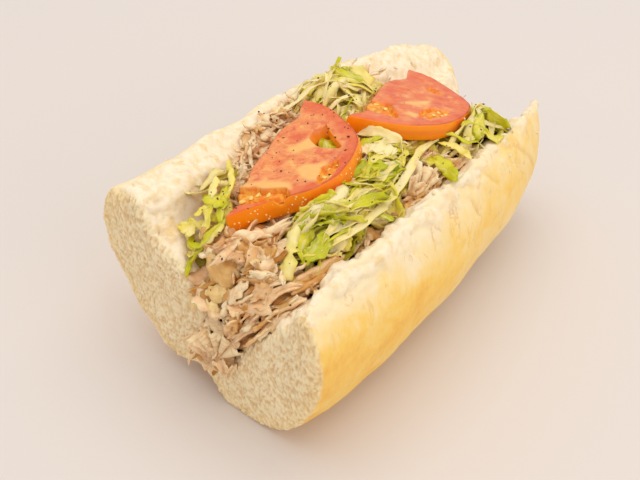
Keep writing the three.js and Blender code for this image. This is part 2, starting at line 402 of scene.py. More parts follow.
class Grains:
    """Many small round bodies gathered into one mesh."""

    def __init__(self, around: int) -> None:
        """Makes the ball that each body is bent from.

        Args:
            around: how many vertices each of its rings has.
        """
        leans = np.linspace(-1, 1, 9)[1:-1] * math.pi / 2
        turn = np.linspace(0, 2 * math.pi, around, endpoint=False)
        circle = np.stack([np.cos(turn), np.sin(turn), np.zeros(around)], axis=1)
        rings = [circle * math.cos(lean) + (0, 0, math.sin(lean)) for lean in leans]
        self.ball = np.concatenate([*rings, [[0, 0, -1.0], [0, 0, 1.0]]])
        self.quads = wall_quads(len(rings), around)[:, [0, 3, 2, 1]]
        low = cap_triangles(0, around, len(self.ball) - 2)[:, [0, 2, 1]]
        high = cap_triangles(len(rings) - 1, around, len(self.ball) - 1)
        self.triangles = np.concatenate([low, high])
        self.bodies: list[Array] = []

    def mesh(self) -> Mesh:
        """One mesh of all the bodies.

        Returns:
            The mesh; each body has the ball's faces.
        """
        starts = np.arange(len(self.bodies))[:, None, None] * len(self.ball)
        quads = (self.quads + starts).reshape(-1, 4)
        triangles = (self.triangles + starts).reshape(-1, 3)
        return mesh_of(np.concatenate(self.bodies), quads, triangles)


def remeshed(node: str, voxel: float) -> Mesh:
    """An even mesh of a node of the frame, in small squares.

    Args:
        node: name of the node.
        voxel: size of the squares.

    Returns:
        A new mesh; the node's own stays as it is.
    """
    stand_in = linked("stand_in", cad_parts[node].data.copy())
    modifier = stand_in.modifiers.new("remesh", "REMESH")
    modifier.mode = "VOXEL"
    modifier.voxel_size = voxel
    graph = bpy.context.evaluated_depsgraph_get()
    mesh = bpy.data.meshes.new_from_object(stand_in.evaluated_get(graph))
    bpy.data.objects.remove(stand_in)
    return mesh


def tree_of(pieces: Iterable[Object]) -> BVHTree:
    """The surfaces of objects, to cast rays at.

    Args:
        pieces: the objects.

    Returns:
        One tree of all their faces.
    """
    vertices: list[Vector] = []
    faces: list[tuple[int, ...]] = []
    for piece in pieces:
        start = len(vertices)
        vertices.extend(v.co.copy() for v in piece.data.vertices)
        faces.extend(tuple(start + i for i in f.vertices) for f in piece.data.polygons)
    return BVHTree.FromPolygons(vertices, faces)


def surface_of(*nodes: str) -> BVHTree:
    """The surfaces of nodes of the frame, to cast rays at."""
    return tree_of(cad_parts[node] for node in nodes)


def dress(piece: Object, slot: Slot, *nodes: str) -> Object:
    """Lets a piece ride on the body and hides what it stands for.

    Args:
        piece: the visible piece.
        slot: of its finish; not used.
        nodes: of the frame that it replaces.

    Returns:
        The piece.
    """
    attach(piece, "root")
    if nodes:
        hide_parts(*nodes)
    LOG.info("%s: %d vertices, %d faces", piece.name, len(piece.data.vertices), len(piece.data.polygons))
    return piece


# ---- shaders ----

# The share, the lower colour and the upper colour of a mix, and the mixed colour.
MIX_INPUTS = (0, 6, 7)
MIX_OUTPUT = 2


class Shader:
    """A material's node tree, with short methods for the nodes that the finishes use."""

    def __init__(self, name: str) -> None:
        """Starts from one Principled shader.

        Args:
            name: of the material.
        """
        self.material = bpy.data.materials.new(name)
        self.material.use_nodes = True
        self.tree = self.material.node_tree
        self.surface = self.tree.nodes["Principled BSDF"]
        self.place = self.tree.nodes.new("ShaderNodeTexCoord").outputs["Object"]

    def fill(self, socket: Socket, value: Socket | float | tuple) -> None:
        """Gives an input what it takes.

        Args:
            socket: the input.
            value: another socket to link to it, or a constant.
        """
        if isinstance(value, Socket):
            self.tree.links.new(value, socket)
        else:
            socket.default_value = value

    def node(self, kind: str, settings: dict[str, str], inputs: dict) -> bpy.types.Node:
        """Adds a node.

        Args:
            kind: of the node.
            settings: its options.
            inputs: what its inputs take, by their names or numbers.

        Returns:
            The node.
        """
        node = self.tree.nodes.new(f"ShaderNode{kind}")
        for name, value in settings.items():
            setattr(node, name, value)
        for name, value in inputs.items():
            self.fill(node.inputs[name], value)
        return node

    def set(self, **values: Socket | float | tuple) -> Material:
        """Gives the shader's own inputs what they take.

        Args:
            values: what they take, with underscores for the spaces in their names.

        Returns:
            The material.
        """
        for name, value in values.items():
            self.fill(self.surface.inputs[name.replace("_", " ")], value)
        return self.material

    def attribute(self, name: str) -> Socket:
        """A number that each vertex holds."""
        return self.node("Attribute", {"attribute_name": name}, {}).outputs["Fac"]

    def stretched(self, *scale: float) -> Socket:
        """The place on the object, scaled along each axis."""
        return self.node("Mapping", {}, {"Vector": self.place, "Scale": scale}).outputs["Vector"]

    def on_sheet(self, stretch: float) -> Socket:
        """The place on a thin piece, along and across it, with its tone as a third coordinate.

        Args:
            stretch: what its length is multiplied by.

        Returns:
            The place.
        """
        along, across, tone = (self.attribute(name) for name in ("along", "across", "tone"))
        inputs = {"X": self.times(along, stretch), "Y": across, "Z": tone}
        return self.node("CombineXYZ", {}, inputs).outputs["Vector"]

    def noise(
        self,
        size: float,
        detail: float = 3.0,
        rough: float = 0.55,
        source: Socket | None = None,
        warp: float = 0.0,
    ) -> Socket:
        """Noise of 0 to 1.

        Args:
            size: of its features, in metres or in the source's own unit.
            detail: how many finer levels it has.
            rough: how strong those are.
            source: coordinates, or the place on the object.
            warp: how much it distorts itself.

        Returns:
            The noise.
        """
        inputs = {"Vector": source or self.place, "Distortion": warp}
        inputs |= {"Scale": 1.0 / size, "Detail": detail, "Roughness": rough}
        return self.node("TexNoise", {}, inputs).outputs["Fac"]

    def patches(self, low: float, high: float, most: float, *noise: float, warp: float = 0.0) -> Socket:
        """Separate patches where a noise is high: nothing at low, the most at high."""
        return self.ramp(self.noise(*noise, warp=warp), (low, 0.0), (high, most))

    def ramp(self, source: Socket, *stops: tuple[float, Colour | float]) -> Socket:
        """Colours, or numbers, along a scale of 0 to 1.

        Args:
            source: where on the scale.
            stops: places on the scale and what holds there.

        Returns:
            The colour or number.
        """
        node = self.node("ValToRGB", {}, {"Fac": source})
        elements = node.color_ramp.elements
        elements.remove(elements[1])
        for order, (at, value) in enumerate(stops):
            element = elements.new(at) if order else elements[0]
            element.position = at
            element.color = (*value, 1.0) if isinstance(value, tuple) else (value, value, value, 1.0)
        return node.outputs["Color"]

    def math(self, operation: str, first: Socket | float, second: Socket | float) -> Socket:
        """One operation on two numbers."""
        return self.node("Math", {"operation": operation}, {0: first, 1: second}).outputs["Value"]

    def times(self, first: Socket, second: Socket | float) -> Socket:
        """The product of two numbers."""
        return self.math("MULTIPLY", first, second)

    def varied(self, source: Socket, noise: Socket, amount: float) -> Socket:
        """A number, raised or lowered by a noise by up to half the amount."""
        shift = self.math("ADD", self.times(noise, amount), -amount / 2)
        return self.math("ADD", source, shift)

    def blend(self, share: Socket, first: Socket | Colour, second: Socket | Colour) -> Socket:
        """The second colour over the first, as far as the share says."""
        values = (share, *((*c, 1.0) if isinstance(c, tuple) else c for c in (first, second)))
        return self.node("Mix", {"data_type": "RGBA"}, dict(zip(MIX_INPUTS, values))).outputs[MIX_OUTPUT]

    def relief(self, height: Socket, depth: float, strength: float) -> None:
        """Fine relief of the surface: a height of 0 to 1, its depth in metres, and how much of it shows."""
        inputs = {"Height": height, "Distance": depth, "Strength": strength}
        self.set(Normal=self.node("Bump", {}, inputs).outputs["Normal"])


# ---- floor, light and camera ----


@dataclass(frozen=True)
class Lamp:
    """A soft square light: where it hangs and its width in metres, its power in watts and its colour."""

    name: str
    place: Place
    size: float
    power: float
    colour: Colour


@dataclass
class Studio:
    """A pale floor under soft light, and the camera."""

    azimuth: float = math.radians(40.5)
    elevation: float = math.radians(39.5)
    distance: float = 346.5 * MM
    aim_from_cut_end: Place = (2.5 * MM, 59.1 * MM, 40.0 * MM)
    lens: float = 50.0
    sensor: float = 36.0
    floor_size: float = 4.0
    floor_colour: Colour = srgb(224, 214, 207)
    lamps: tuple[Lamp, ...] = (
        Lamp("ceiling", (-0.05, 0.15, 1.60), 1.7, 10.9, (1.0, 0.985, 0.96)),
        Lamp("side", (1.70, -0.10, 0.85), 1.1, 4.8, (1.0, 0.97, 0.93)),
    )
    lit_place: Place = (0.0, 0.0, 40 * MM)
    surroundings: Colour = (1.0, 0.985, 0.97)
    surroundings_strength: float = 0.77

    def camera(self) -> None:
        """Looks down at the cut end and the crust beside it."""
        low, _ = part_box("roll")
        aim = Vector((0.0, low.y, 0.0)) + Vector(self.aim_from_cut_end)
        level = math.cos(self.elevation)
        ahead = math.cos(self.azimuth) * level
        back = Vector((math.sin(self.azimuth) * level, -ahead, math.sin(self.elevation)))
        data = bpy.data.cameras.new("camera")
        data.lens = self.lens
        data.sensor_width = self.sensor
        data.clip_start = 10 * MM
        camera = linked("camera", data)
        camera.location = aim + back * self.distance
        camera.rotation_euler = (-back).to_track_quat("-Z", "Y").to_euler()
        bpy.context.scene.camera = camera

    def floor(self) -> None:
        """A plain pale floor."""
        half = self.floor_size / 2
        corners = np.array([(-half, -half, 0), (half, -half, 0), (half, half, 0), (-half, half, 0)])
        shader = Shader("floor")
        shader.set(Base_Color=(*self.floor_colour, 1.0), Roughness=0.55, Specular_IOR_Level=0.25)
        floor = new_object("floor", mesh_of(corners, np.array([[0, 1, 2, 3]])), shader.material)

    def light(self, lamp: Lamp) -> None:
        """Hangs a light that faces the sandwich.

        Args:
            lamp: the light.
        """
        data = bpy.data.lights.new(lamp.name, "AREA")
        data.size = lamp.size
        data.energy = lamp.power
        data.color = lamp.colour
        light = linked(lamp.name, data)
        light.location = lamp.place
        back = Vector(lamp.place) - Vector(self.lit_place)
        light.rotation_euler = back.to_track_quat("Z", "Y").to_euler()

    def build(self) -> None:
        """Sets up the floor, the lights, the surroundings and the camera."""
        self.floor()
        for lamp in self.lamps:
            self.light(lamp)
        world = bpy.data.worlds.new("surroundings")
        world.use_nodes = True
        background = world.node_tree.nodes["Background"]
        background.inputs["Color"].default_value = (*self.surroundings, 1.0)
        background.inputs["Strength"].default_value = self.surroundings_strength
        bpy.context.scene.world = world
        bpy.context.scene.view_settings.view_transform = "Standard"
        self.camera()
        LOG.info("studio: floor, two lights and camera")


# ---- the roll ----


@dataclass(frozen=True)
class BreadFinish:
    """Golden crust, cream-coloured crumb, and the open crumb of the cut end."""

    pale: Colour = srgb(252, 230, 188)
    straw: Colour = srgb(254, 224, 160)
    gold: Colour = srgb(255, 208, 100)
    deep: Colour = srgb(248, 186, 76)
    # Colour of the crust's cracks, also painted along its creases as their shade.
    crack_and_crease_shade: Colour = srgb(222, 164, 84)
    cream: Colour = srgb(254, 235, 205)
    butter: Colour = srgb(243, 216, 168)
    oil: Colour = srgb(232, 190, 110)
    # The cut end's colours, a darker copy of the crumb: painted shade on the end, deeper painted shade in
    # its pores.
    pore: Colour = srgb(224, 191, 145)
    crumb: Colour = srgb(240, 210, 160)
    strand: Colour = srgb(251, 231, 190)

    def crust(self, shader: Shader) -> Socket:
        """Pale along the opening, golden further down, patchy in between.

        Args:
            shader: takes the nodes.

        Returns:
            The colour.
        """
        patches = shader.noise(15 * MM, 5.0, 0.6, warp=0.6)
        strokes = shader.noise(2.6 * MM, 4.0, 0.65, shader.stretched(1.0, 1.2, 0.6))
        bake_and_bounce_light = shader.varied(shader.varied(shader.attribute("bake_and_bounce_light"), patches, 0.8), strokes, 0.34)
        stops = ((0.0, self.pale), (0.3, self.pale), (0.48, self.straw), (0.76, self.gold), (1.0, self.deep))
        colour = shader.ramp(bake_and_bounce_light, *stops)
        band = shader.ramp(bake_and_bounce_light, (0.08, 0.0), (0.34, 0.55), (0.8, 0.08))
        return shader.blend(shader.times(self.cracks(shader), band), colour, self.crack_and_crease_shade)

    def cracks(self, shader: Shader) -> Socket:
        """Broken wavy lines.

        Args:
            shader: takes the nodes.

        Returns:
            How much of a line there is.
        """
        waves = shader.noise(6 * MM, 3.0, 0.55, shader.stretched(1.0, 1.0, 0.45), warp=0.5)
        lines = shader.ramp(waves, (0.455, 0.0), (0.49, 1.0), (0.51, 1.0), (0.545, 0.0))
        return shader.times(lines, shader.patches(0.5, 0.6, 1.0, 9 * MM, 2.0))

    def opening(self, shader: Shader) -> Socket:
        """The split faces, cream with oily patches."""
        colour = shader.ramp(shader.noise(3.2 * MM, 4.0, 0.6), (0.35, self.butter), (0.55, self.cream))
        return shader.blend(shader.patches(0.58, 0.7, 0.5, 9 * MM, 3.0, 0.6, warp=1.0), colour, self.oil)

    def cut_end(self, shader: Shader) -> Socket:
        """The cut end, painted darker than the split faces as shade: short pale strands over pores painted
        darker still.

        Args:
            shader: takes the nodes.

        Returns:
            The colour.
        """
        specks = shader.noise(0.8 * MM, 4.0, 0.7, shader.stretched(1.0, 1.0, 0.55))
        stops = ((0.0, self.strand), (0.22, self.strand), (0.6, self.crumb), (1.0, self.pore))
        return shader.ramp(shader.varied(shader.attribute("pore"), specks, 0.9), *stops)

    def make(self) -> Material:
        """The finish of the whole roll.

        Returns:
            The material.
        """
        shader = Shader("bread")
        # The fold attribute paints shade along the creases of the crust.
        colour = shader.blend(shader.attribute("fold"), self.crust(shader), self.crack_and_crease_shade)
        colour = shader.blend(shader.attribute("crumb"), colour, self.opening(shader))
        # The cut end takes its darker colours: painted shade.
        colour = shader.blend(shader.attribute("end"), colour, self.cut_end(shader))
        colour = shader.blend(shader.attribute("rim"), colour, self.gold)
        rough = shader.ramp(shader.attribute("crumb"), (0.0, 0.46), (1.0, 0.85))
        shader.set(Base_Color=colour, Roughness=rough, Specular_IOR_Level=0.35)
        shader.set(Subsurface_Weight=0.12, Subsurface_Scale=2.5 * MM, Subsurface_Radius=(1.0, 0.7, 0.4))
        shader.relief(shader.noise(2.6 * MM, 5.0, 0.65, warp=0.8), 0.45 * MM, 0.6)
        return shader.material


@dataclass
class Roll:
    """The split roll: crust outside, crumb on the split faces and on the cut end."""

    voxel: float = 1.4 * MM
    smooth_passes: int = 20
    end_cuts: int = 3
    torn_depth: float = 6.0 * MM
    halves_part_at: float = 9.0 * MM
    crumb_rim: float = 1.1 * MM
    flap_height: float = 1.2 * MM
    creases: tuple[tuple[Place, ...], ...] = (
        ((36.8, 32.6, 66.4), (39.6, 38.7, 60.8), (40.8, 46.6, 53.4), (40.0, 58.4, 40.8)),
        ((41.5, 10.3, 64.4), (43.4, 14.0, 60.0), (44.9, 18.5, 55.4)),
        ((45.6, -2.9, 60.1), (47.2, -1.8, 56.4), (48.4, 0.0, 52.2)),
    )
    finish: BreadFinish = BreadFinish()

    def even_mesh(self) -> Mesh:
        """The roll in small squares, smoothed, with a flat cut end of finer squares.

        Returns:
            The mesh.
        """
        mesh = remeshed("roll", self.voxel)
        low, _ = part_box("roll")
        places = coordinates(mesh)
        ends = edge_ends(mesh)
        at_end = places[:, 1] < low.y + 0.6 * self.voxel
        inside_end = ends[at_end[ends].all(axis=1)]
        elsewhere = np.where(at_end, 0.0, 1.0)[:, None]
        across = np.where(at_end, 1.0, 0.0)[:, None] * np.array([1.0, 0.0, 1.0])
        for _ in range(self.smooth_passes):
            places = relaxed(places, ends, 1, 0.55 * elsewhere)
            places = relaxed(places, ends, 1, -0.57 * elsewhere)
            places = relaxed(places, inside_end, 1, 0.5 * across)
            places = relaxed(places, inside_end, 1, -0.52 * across)
        place_vertices(mesh, places)
        work = bmesh.new()
        work.from_mesh(mesh)
        work.verts.ensure_lookup_table()
        faces = [f for f in work.faces if all(at_end[v.index] for v in f.verts)]
        edges = list({e for f in faces for e in f.edges})
        bmesh.ops.subdivide_edges(work, edges=edges, cuts=self.end_cuts, use_grid_fill=True)
        work.to_mesh(mesh)
        work.free()
        return mesh

    def split_faces(self, places: Array, normals: Array) -> Array:
        """Where the crumb of the split faces shows, up to a ragged border.

        Args:
            places: of the vertices.
            normals: of the smoothed surface there.

        Returns:
            How much of each vertex is crumb.
        """
        side, along, up = normals.T
        ragged = 0.16 * Noise(3).fractal(places, 9 * MM, 2)
        base = ramp(-0.5, -0.2, side + ragged) * ramp(-0.15, 0.2, up)
        crown = ramp(0.16, -0.1, side + ragged) * ramp(-0.2, 0.1, up)
        return np.where(places[:, 0] < self.halves_part_at, base, crown) * ramp(0.75, 0.45, along)

    def crust_bake_and_bounce(self, places: Array, up: Array) -> Array:
        """How brown the crust is: palest along the crest, more even towards the rounded end,
        and paler on the underside as painted light bounced up from the floor.

        Args:
            places: of the vertices.
            up: how far the surface looks up there.

        Returns:
            A value of about 0 to 1 for each vertex.
        """
        bake_and_bounce_light = ramp(0.95, -0.15, up) * 0.92 - 0.12 * np.exp(-((places[:, 1] / (45 * MM)) ** 2))
        bake_and_bounce_light = mix(bake_and_bounce_light, 0.62, 0.75 * ramp(-45 * MM, 25 * MM, places[:, 1]))
        # Painted bounce light: the crust is made paler where it faces down.
        bake_and_bounce_light -= 0.12 * ramp(0.2, -0.35, up)
        return np.where(places[:, 0] < 0, 0.35 + 0.6 * bake_and_bounce_light, bake_and_bounce_light)

    def torn_crest(self, places: Array, up: Array) -> tuple[Array, Array]:
        """Waves and torn flaps of crust along the crest of the crusted half.

        Args:
            places: of the vertices.
            up: how far the surface looks up there.

        Returns:
            The height of each vertex, and how bare of crust it is.
        """
        waves = 1.1 * MM * Noise(14).fractal(places, 15 * MM, 2) * ramp(0.3, 0.8, up)
        flaps = Noise(15).fractal(places, np.array([9, 15, 9]) * MM, 3)
        steps = ramp(-0.03, 0.06, flaps) + 0.6 * ramp(0.28, 0.36, flaps) - 0.6 * ramp(-0.38, -0.3, flaps)
        crusted = places[:, 0] > self.halves_part_at
        height = waves + self.flap_height * steps * ramp(0.35, 0.6, up) * crusted
        return height, 0.85 * ramp(-0.03, 0.05, flaps) * ramp(0.4, 0.6, up) * crusted

    def shape(self) -> Mesh:
        """Marks crust and crumb, and gives each its relief.

        Returns:
            The mesh, with the numbers that the finish reads.
        """
        mesh = self.even_mesh()
        cut_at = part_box("roll")[0].y
        before = coordinates(mesh)
        along = before[:, 1]
        outward = vertex_normals(mesh)
        normals = unit(relaxed(outward, edge_ends(mesh), 6))
        up = normals[:, 2]
        end = ramp(cut_at + 0.9 * self.voxel, cut_at + 0.2 * self.voxel, along)
        end *= ramp(-0.25, -0.6, normals[:, 1])
        crumb = self.split_faces(before, normals)
        beside_end = (end < 0.3) & (along < cut_at + 2.2 * self.voxel)
        to_crust = self.distance(before, beside_end & (crumb < 0.4), end > 0.01)
        to_crumb = self.distance(before, beside_end & (crumb > 0.6), along < cut_at + self.torn_depth)
        thick = self.crumb_rim + 0.5 * MM * Noise(5).sample(before, 4 * MM)
        rim = np.maximum(ramp(1.0, 0.45, to_crust / thick) * 0.8, 0.2 * ramp(9 * MM, 1 * MM, to_crust))
        torn = Noise(6).fractal(before, 4.5 * MM, 2)
        lip = ramp(4.0 * MM, 0.0, to_crumb) * (1.5 + 1.1 * torn) * MM
        lip += ramp(1.6 * MM, 0.0, to_crust) * 0.5 * MM
        lip *= ramp(cut_at + self.torn_depth, cut_at, along)
        pore, end_relief = self.end_relief(before)
        crest, bare = self.torn_crest(before, up)
        relief = crest + self.crust_relief(before) * (1 - crumb) + self.crumb_relief(before) * crumb
        edge = ramp(cut_at + 6 * MM, cut_at + 1 * MM, along) * crumb * (1 - end)
        relief = relief + edge * 1.1 * MM * torn
        relief = relief * (1 - end) + end_relief * end
        grounded = ramp(0.0, 4 * MM, before[:, 2])
        places = before + outward * (relief * np.where(end > 0.5, 1.0, grounded))[:, None]
        places[:, 1] += lip
        places[:, 2] = np.maximum(places[:, 2], 0.0)
        place_vertices(mesh, places)
        # fold: painted shade along the creases, whose grooves are too narrow for the mesh to shade.
        set_attribute(mesh, "fold", 0.3 * ramp(1.4 * MM, 0.2 * MM, self.to_crease(places)))
        set_attribute(mesh, "crumb", np.maximum(crumb, bare))
        set_attribute(mesh, "end", end)
        set_attribute(mesh, "bake_and_bounce_light", self.crust_bake_and_bounce(before, up))
        set_attribute(mesh, "rim", rim)
        # pore: where the end's sunken pores lie, painted darker as their shade.
        set_attribute(mesh, "pore", pore * ramp(0.0, 2.5 * MM, to_crumb))
        return mesh

    def distance(self, places: Array, targets: Array, sources: Array) -> Array:
        """How far the source vertices lie from the nearest target vertex.

        Args:
            places: of all the vertices.
            targets: which vertices are measured to.
            sources: which vertices are measured.

        Returns:
            A distance for each vertex, 1 m where it isn't measured.
        """
        chosen = places[targets]
        tree = KDTree(len(chosen))
        for order, place in enumerate(chosen):
            tree.insert(place, order)
        tree.balance()
        near = np.full(len(places), 1.0)
        for index in np.flatnonzero(sources):
            near[index] = tree.find(places[index])[2]
        return near

    def crust_relief(self, places: Array) -> Array:
        """Broad dents, soft wrinkles, small pimples and the creases of the bent crust.

        Args:
            places: of the vertices.

        Returns:
            A height for each.
        """
        relief = 0.55 * MM * Noise(11).fractal(places, 26 * MM, 2)
        relief += 0.22 * MM * Noise(12).sample(places, np.array([7, 3.4, 7]) * MM)
        relief += 0.05 * MM * Noise(13).sample(places, 1.8 * MM)
        near = self.to_crease(places)
        return relief + 0.15 * MM * ramp(5 * MM, 2 * MM, near) - 0.6 * MM * ramp(1.6 * MM, 0.0, near)

    def to_crease(self, places: Array) -> Array:
        """How far places lie from the nearest crease of the crust."""
        return np.minimum.reduce([distance_to_line(places, np.array(line) * MM) for line in self.creases])

    def crumb_relief(self, places: Array) -> Array:
        """Torn, lumpy crumb of the split faces.

        Args:
            places: of the vertices.

        Returns:
            A height for each.
        """
        lumps = 0.75 * MM * Noise(21).fractal(places, 8 * MM, 3)
        pits = -0.5 * MM * ramp(0.25, 0.7, Noise(22).sample(places, 2.6 * MM))
        tears = -1.6 * MM * ramp(0.2, 0.0, np.abs(Noise(23).fractal(places, 11 * MM, 2)))
        return lumps + pits + tears * ramp(-0.4, 0.2, Noise(24).sample(places, 16 * MM))

    def end_relief(self, places: Array) -> tuple[Array, Array]:
        """Open crumb: strands with pores between them.

        Args:
            places: of the vertices.

        Returns:
            How much of a pore each vertex lies in, and its height.
        """
        bend = 2.2 * MM * np.stack([Noise(k).sample(places, 13 * MM) for k in (34, 35, 36)], axis=1)
        stretch = np.array([1.0, 1.0, 2.2])
        fine = Noise(31).fractal(places + bend, 0.95 * MM * stretch, 2)
        pore = ramp(-0.9, 1.1, fine + 0.5 * Noise(32).sample(places + bend, 3.4 * MM))
        return pore, 0.9 * MM * (0.4 - pore) + 0.8 * MM * Noise(33).sample(places, 14 * MM)

    def build(self) -> Object:
        """Makes the visible roll."""
        return dress(new_object("bread_roll", self.shape(), self.finish.make()), Slot.BREAD, "roll")


# ---- the tomato slices ----


@dataclass(frozen=True)
class Chamber:
    """A seed chamber of a slice; its outline is in millimetres along and across the cut edge."""

    outline: Outline
    depth: float = 1.6
    through: bool = False
    seeds: int = 0

    def inside(self, flat: Array) -> Array:
        """How far places on the slice lie inside it."""
        return depth_inside(flat, np.array(self.outline))


@dataclass(frozen=True)
class TomatoFinish:
    """Orange skin, salmon flesh, redder near the skin, and orange jelly in the chambers."""

    skin: Colour = srgb(255, 150, 0)
    skin_red: Colour = srgb(255, 130, 0)
    rim: Colour = srgb(232, 116, 62)
    red: Colour = srgb(218, 72, 32)
    flesh: Colour = srgb(238, 146, 84)
    pink: Colour = srgb(226, 108, 72)
    vein: Colour = srgb(248, 192, 110)
    jelly: Colour = srgb(236, 128, 10)
    jelly_pale: Colour = srgb(250, 184, 66)
    seed: Colour = srgb(248, 208, 110)

    def make(self) -> Material:
        """The finish of a slice.

        Returns:
            The material.
        """
        shader = Shader("tomato")
        skin = shader.attribute("skin")
        clouds = shader.noise(8 * MM, 3.0, 0.6, warp=0.8)
        stops = ((0.34, self.pink), (0.5, self.flesh), (0.6, self.flesh), (0.74, self.vein))
        streaks = shader.patches(0.5, 0.7, 0.55, 2.2 * MM, 3.0, 0.6, warp=1.2)
        colour = shader.blend(streaks, shader.ramp(clouds, *stops), self.vein)
        rim = shader.blend(shader.patches(0.4, 0.66, 0.85, 6 * MM, 3.0, 0.6), self.rim, self.red)
        colour = shader.blend(shader.patches(0.5, 0.68, 0.6, 5 * MM, 3.0, 0.6, warp=0.5), colour, self.red)
        colour = shader.blend(shader.attribute("rim"), colour, rim)
        colour = shader.blend(shader.attribute("pale"), colour, self.vein)
        bed = shader.ramp(shader.noise(1.8 * MM, 2.0), (0.4, self.jelly), (0.66, self.jelly_pale))
        colour = shader.blend(shader.attribute("jelly"), colour, bed)
        side = shader.ramp(shader.noise(14 * MM, 2.0), (0.38, self.skin_red), (0.56, self.skin))
        shader.set(Base_Color=shader.blend(skin, colour, side))
        shader.set(Roughness=0.36, Specular_IOR_Level=0.3, Coat_Weight=0.1, Coat_Roughness=0.1)
        shader.set(Subsurface_Weight=0.45, Subsurface_Scale=2.5 * MM, Subsurface_Radius=(1.0, 0.4, 0.12))
        off_skin = shader.math("SUBTRACT", 1.0, skin)
        shader.relief(shader.times(shader.noise(1.1 * MM, 3.0, 0.6), off_skin), 0.22 * MM, 0.6)
        return shader.material

    def seeds(self) -> Material:
        """The finish of the seeds.

        Returns:
            The material.
        """
        shader = Shader("tomato_seed")
        colour = shader.ramp(shader.noise(0.9 * MM), (0.4, self.seed), (0.7, self.jelly_pale))
        return shader.set(Base_Color=colour, Roughness=0.25, Coat_Weight=0.5, Coat_Roughness=0.1)


@dataclass
class TomatoSlice:
    """Half a slice of tomato with seed chambers; lengths are in millimetres until it is placed."""

    node: str
    at: Place
    normal: Place
    along: Place
    thick: float
    arc: Outline
    cut: Outline
    chambers: tuple[Chamber, ...]
    pale: tuple[Outline, ...]
    ruddy: tuple[Outline, ...]
    seed: int
    around: int = 330
    rings: int = 56
    middle: Pair = (0.0, 14.0)
    rim_width: float = 4.6
    flush: float = 0.0
    finish: TomatoFinish = TomatoFinish()

    def frame(self) -> Array:
        """The directions of the slice.

        Returns:
            Unit vectors along the cut edge, across the slice and out of its upper face.
        """
        out = unit(np.array(self.normal))
        along = np.array(self.along)
        edge = unit(along - out * (along @ out))
        return np.array([edge, np.cross(edge, out), out])

    def placed(self, local: Array) -> Array:
        """Local millimetres as places in the model, in metres."""
        return (np.array(self.at) + local @ self.frame()) * MM

    def outline(self) -> Array:
        """The whole outline.

        Returns:
            Places along the skin's arc, then along the cut edge.
        """
        share = int(self.around * 0.6)
        arc = smooth_line(np.array(self.arc), share)
        cut = smooth_line(np.array([self.arc[-1], *self.cut, self.arc[0]]), self.around - share + 2)
        return np.concatenate([arc, cut[1:-1]])

    def slab(self) -> Mesh:
        """The plain slice, with softly rounded edges and its walls bulging a little.

        Returns:
            The closed mesh.
        """
        outline = self.outline()
        middle = np.array(self.middle)
        inward = np.linspace(0.0, 1.0, self.rings + 1)[1:] ** 0.92
        profile = [(share, 0.0, 0.0) for share in inward[:-1]]
        profile += [(1.0, 0.45, 0.0), (1.0, 0.14, 0.12), (1.0, 0.0, 0.4)]
        wall = self.thick - 0.8
        profile += [(1.0, -0.45 * math.sin(math.pi * s), 0.4 + wall * s) for s in np.linspace(0.1, 0.9, 8)]
        profile += [(1.0, inset, self.thick - up) for inset, up in ((0.0, 0.4), (0.14, 0.12), (0.5, 0.0))]
        profile += [(share, 0.0, self.thick) for share in (0.85, 0.6, 0.3, 0.08)]
        reach = np.linalg.norm(outline - middle, axis=1, keepdims=True)
        rings = []
        for share, inset, down in profile:
            flat = middle + (outline - middle) * (share - inset / reach)
            rings.append(np.hstack([flat, np.full((self.around, 1), -down)]))
        tip = len(rings) * self.around
        vertices = np.concatenate([*rings, [[*self.middle, 0.0], [*self.middle, -self.thick]]])
        upper = cap_triangles(0, self.around, tip)
        lower = cap_triangles(len(rings) - 1, self.around, tip + 1)[:, [0, 2, 1]]
        return mesh_of(vertices, wall_quads(len(rings), self.around), np.concatenate([upper, lower]))

    def plug(self, chamber: Chamber) -> Mesh:
        """What is cut out of the slice for a chamber that goes right through.

        Args:
            chamber: the chamber.

        Returns:
            A closed mesh that narrows downwards.
        """
        rim = smooth_line(np.array([*chamber.outline, chamber.outline[0]]), 41)[:-1]
        centre = rim.mean(axis=0)
        count = len(rim)
        levels = ((1.16, 1.0), (1.1, -0.4), (0.86, -3.0), (0.72, -self.thick - 1.0))
        rings = [np.hstack([centre + (rim - centre) * wide, np.full((count, 1), up)]) for wide, up in levels]
        here = np.arange(count)
        ends = np.stack([here[::-1], (len(rings) - 1) * count + here])
        return mesh_of(np.concatenate(rings), wall_quads(len(rings), count), ends)

    def sunken(self, flat: Array) -> tuple[Array, Array]:
        """The upper face's relief.

        Args:
            flat: places along and across the cut edge.

        Returns:
            How far each lies below the plain face, and how much of it is jelly.
        """
        level = np.hstack([flat, np.full((len(flat), 1), self.seed * 10.0)])
        depth = 0.35 * ramp(3.0, 9.0, depth_inside(flat, np.array(self.arc)))
        depth += 0.22 * Noise(41).fractal(level, 9.0, 2) + 0.07 * Noise(42).sample(level, 1.6)
        jelly = np.zeros(len(flat))
        for chamber in self.chambers:
            if chamber.through:
                continue
            inside = chamber.inside(flat) + 0.5 * Noise(43).sample(level, 3.0)
            bumps = 0.3 * Noise(44).sample(level, 2.6)
            swollen = 0.75 * chamber.depth * ramp(0.7, 3.0, inside)
            depth += ramp(-0.35, 0.8, inside) * (chamber.depth + bumps) - swollen
            jelly = np.maximum(jelly, ramp(-0.5, 0.3, inside))
        return depth, jelly

    def patches(self, flat: Array, outlines: tuple[Outline, ...], ragged: Array) -> Array:
        """Soft-edged patches of the face.

        Args:
            flat: places along and across the cut edge.
            outlines: of the patches.
            ragged: how far their edges lie out at each place.

        Returns:
            How much of a patch each place lies in.
        """
        total = np.zeros(len(flat))
        for outline in outlines:
            inside = depth_inside(flat, np.array(outline)) + ragged
            total = np.maximum(total, 0.9 * ramp(-1.6, 1.4, inside))
        return total

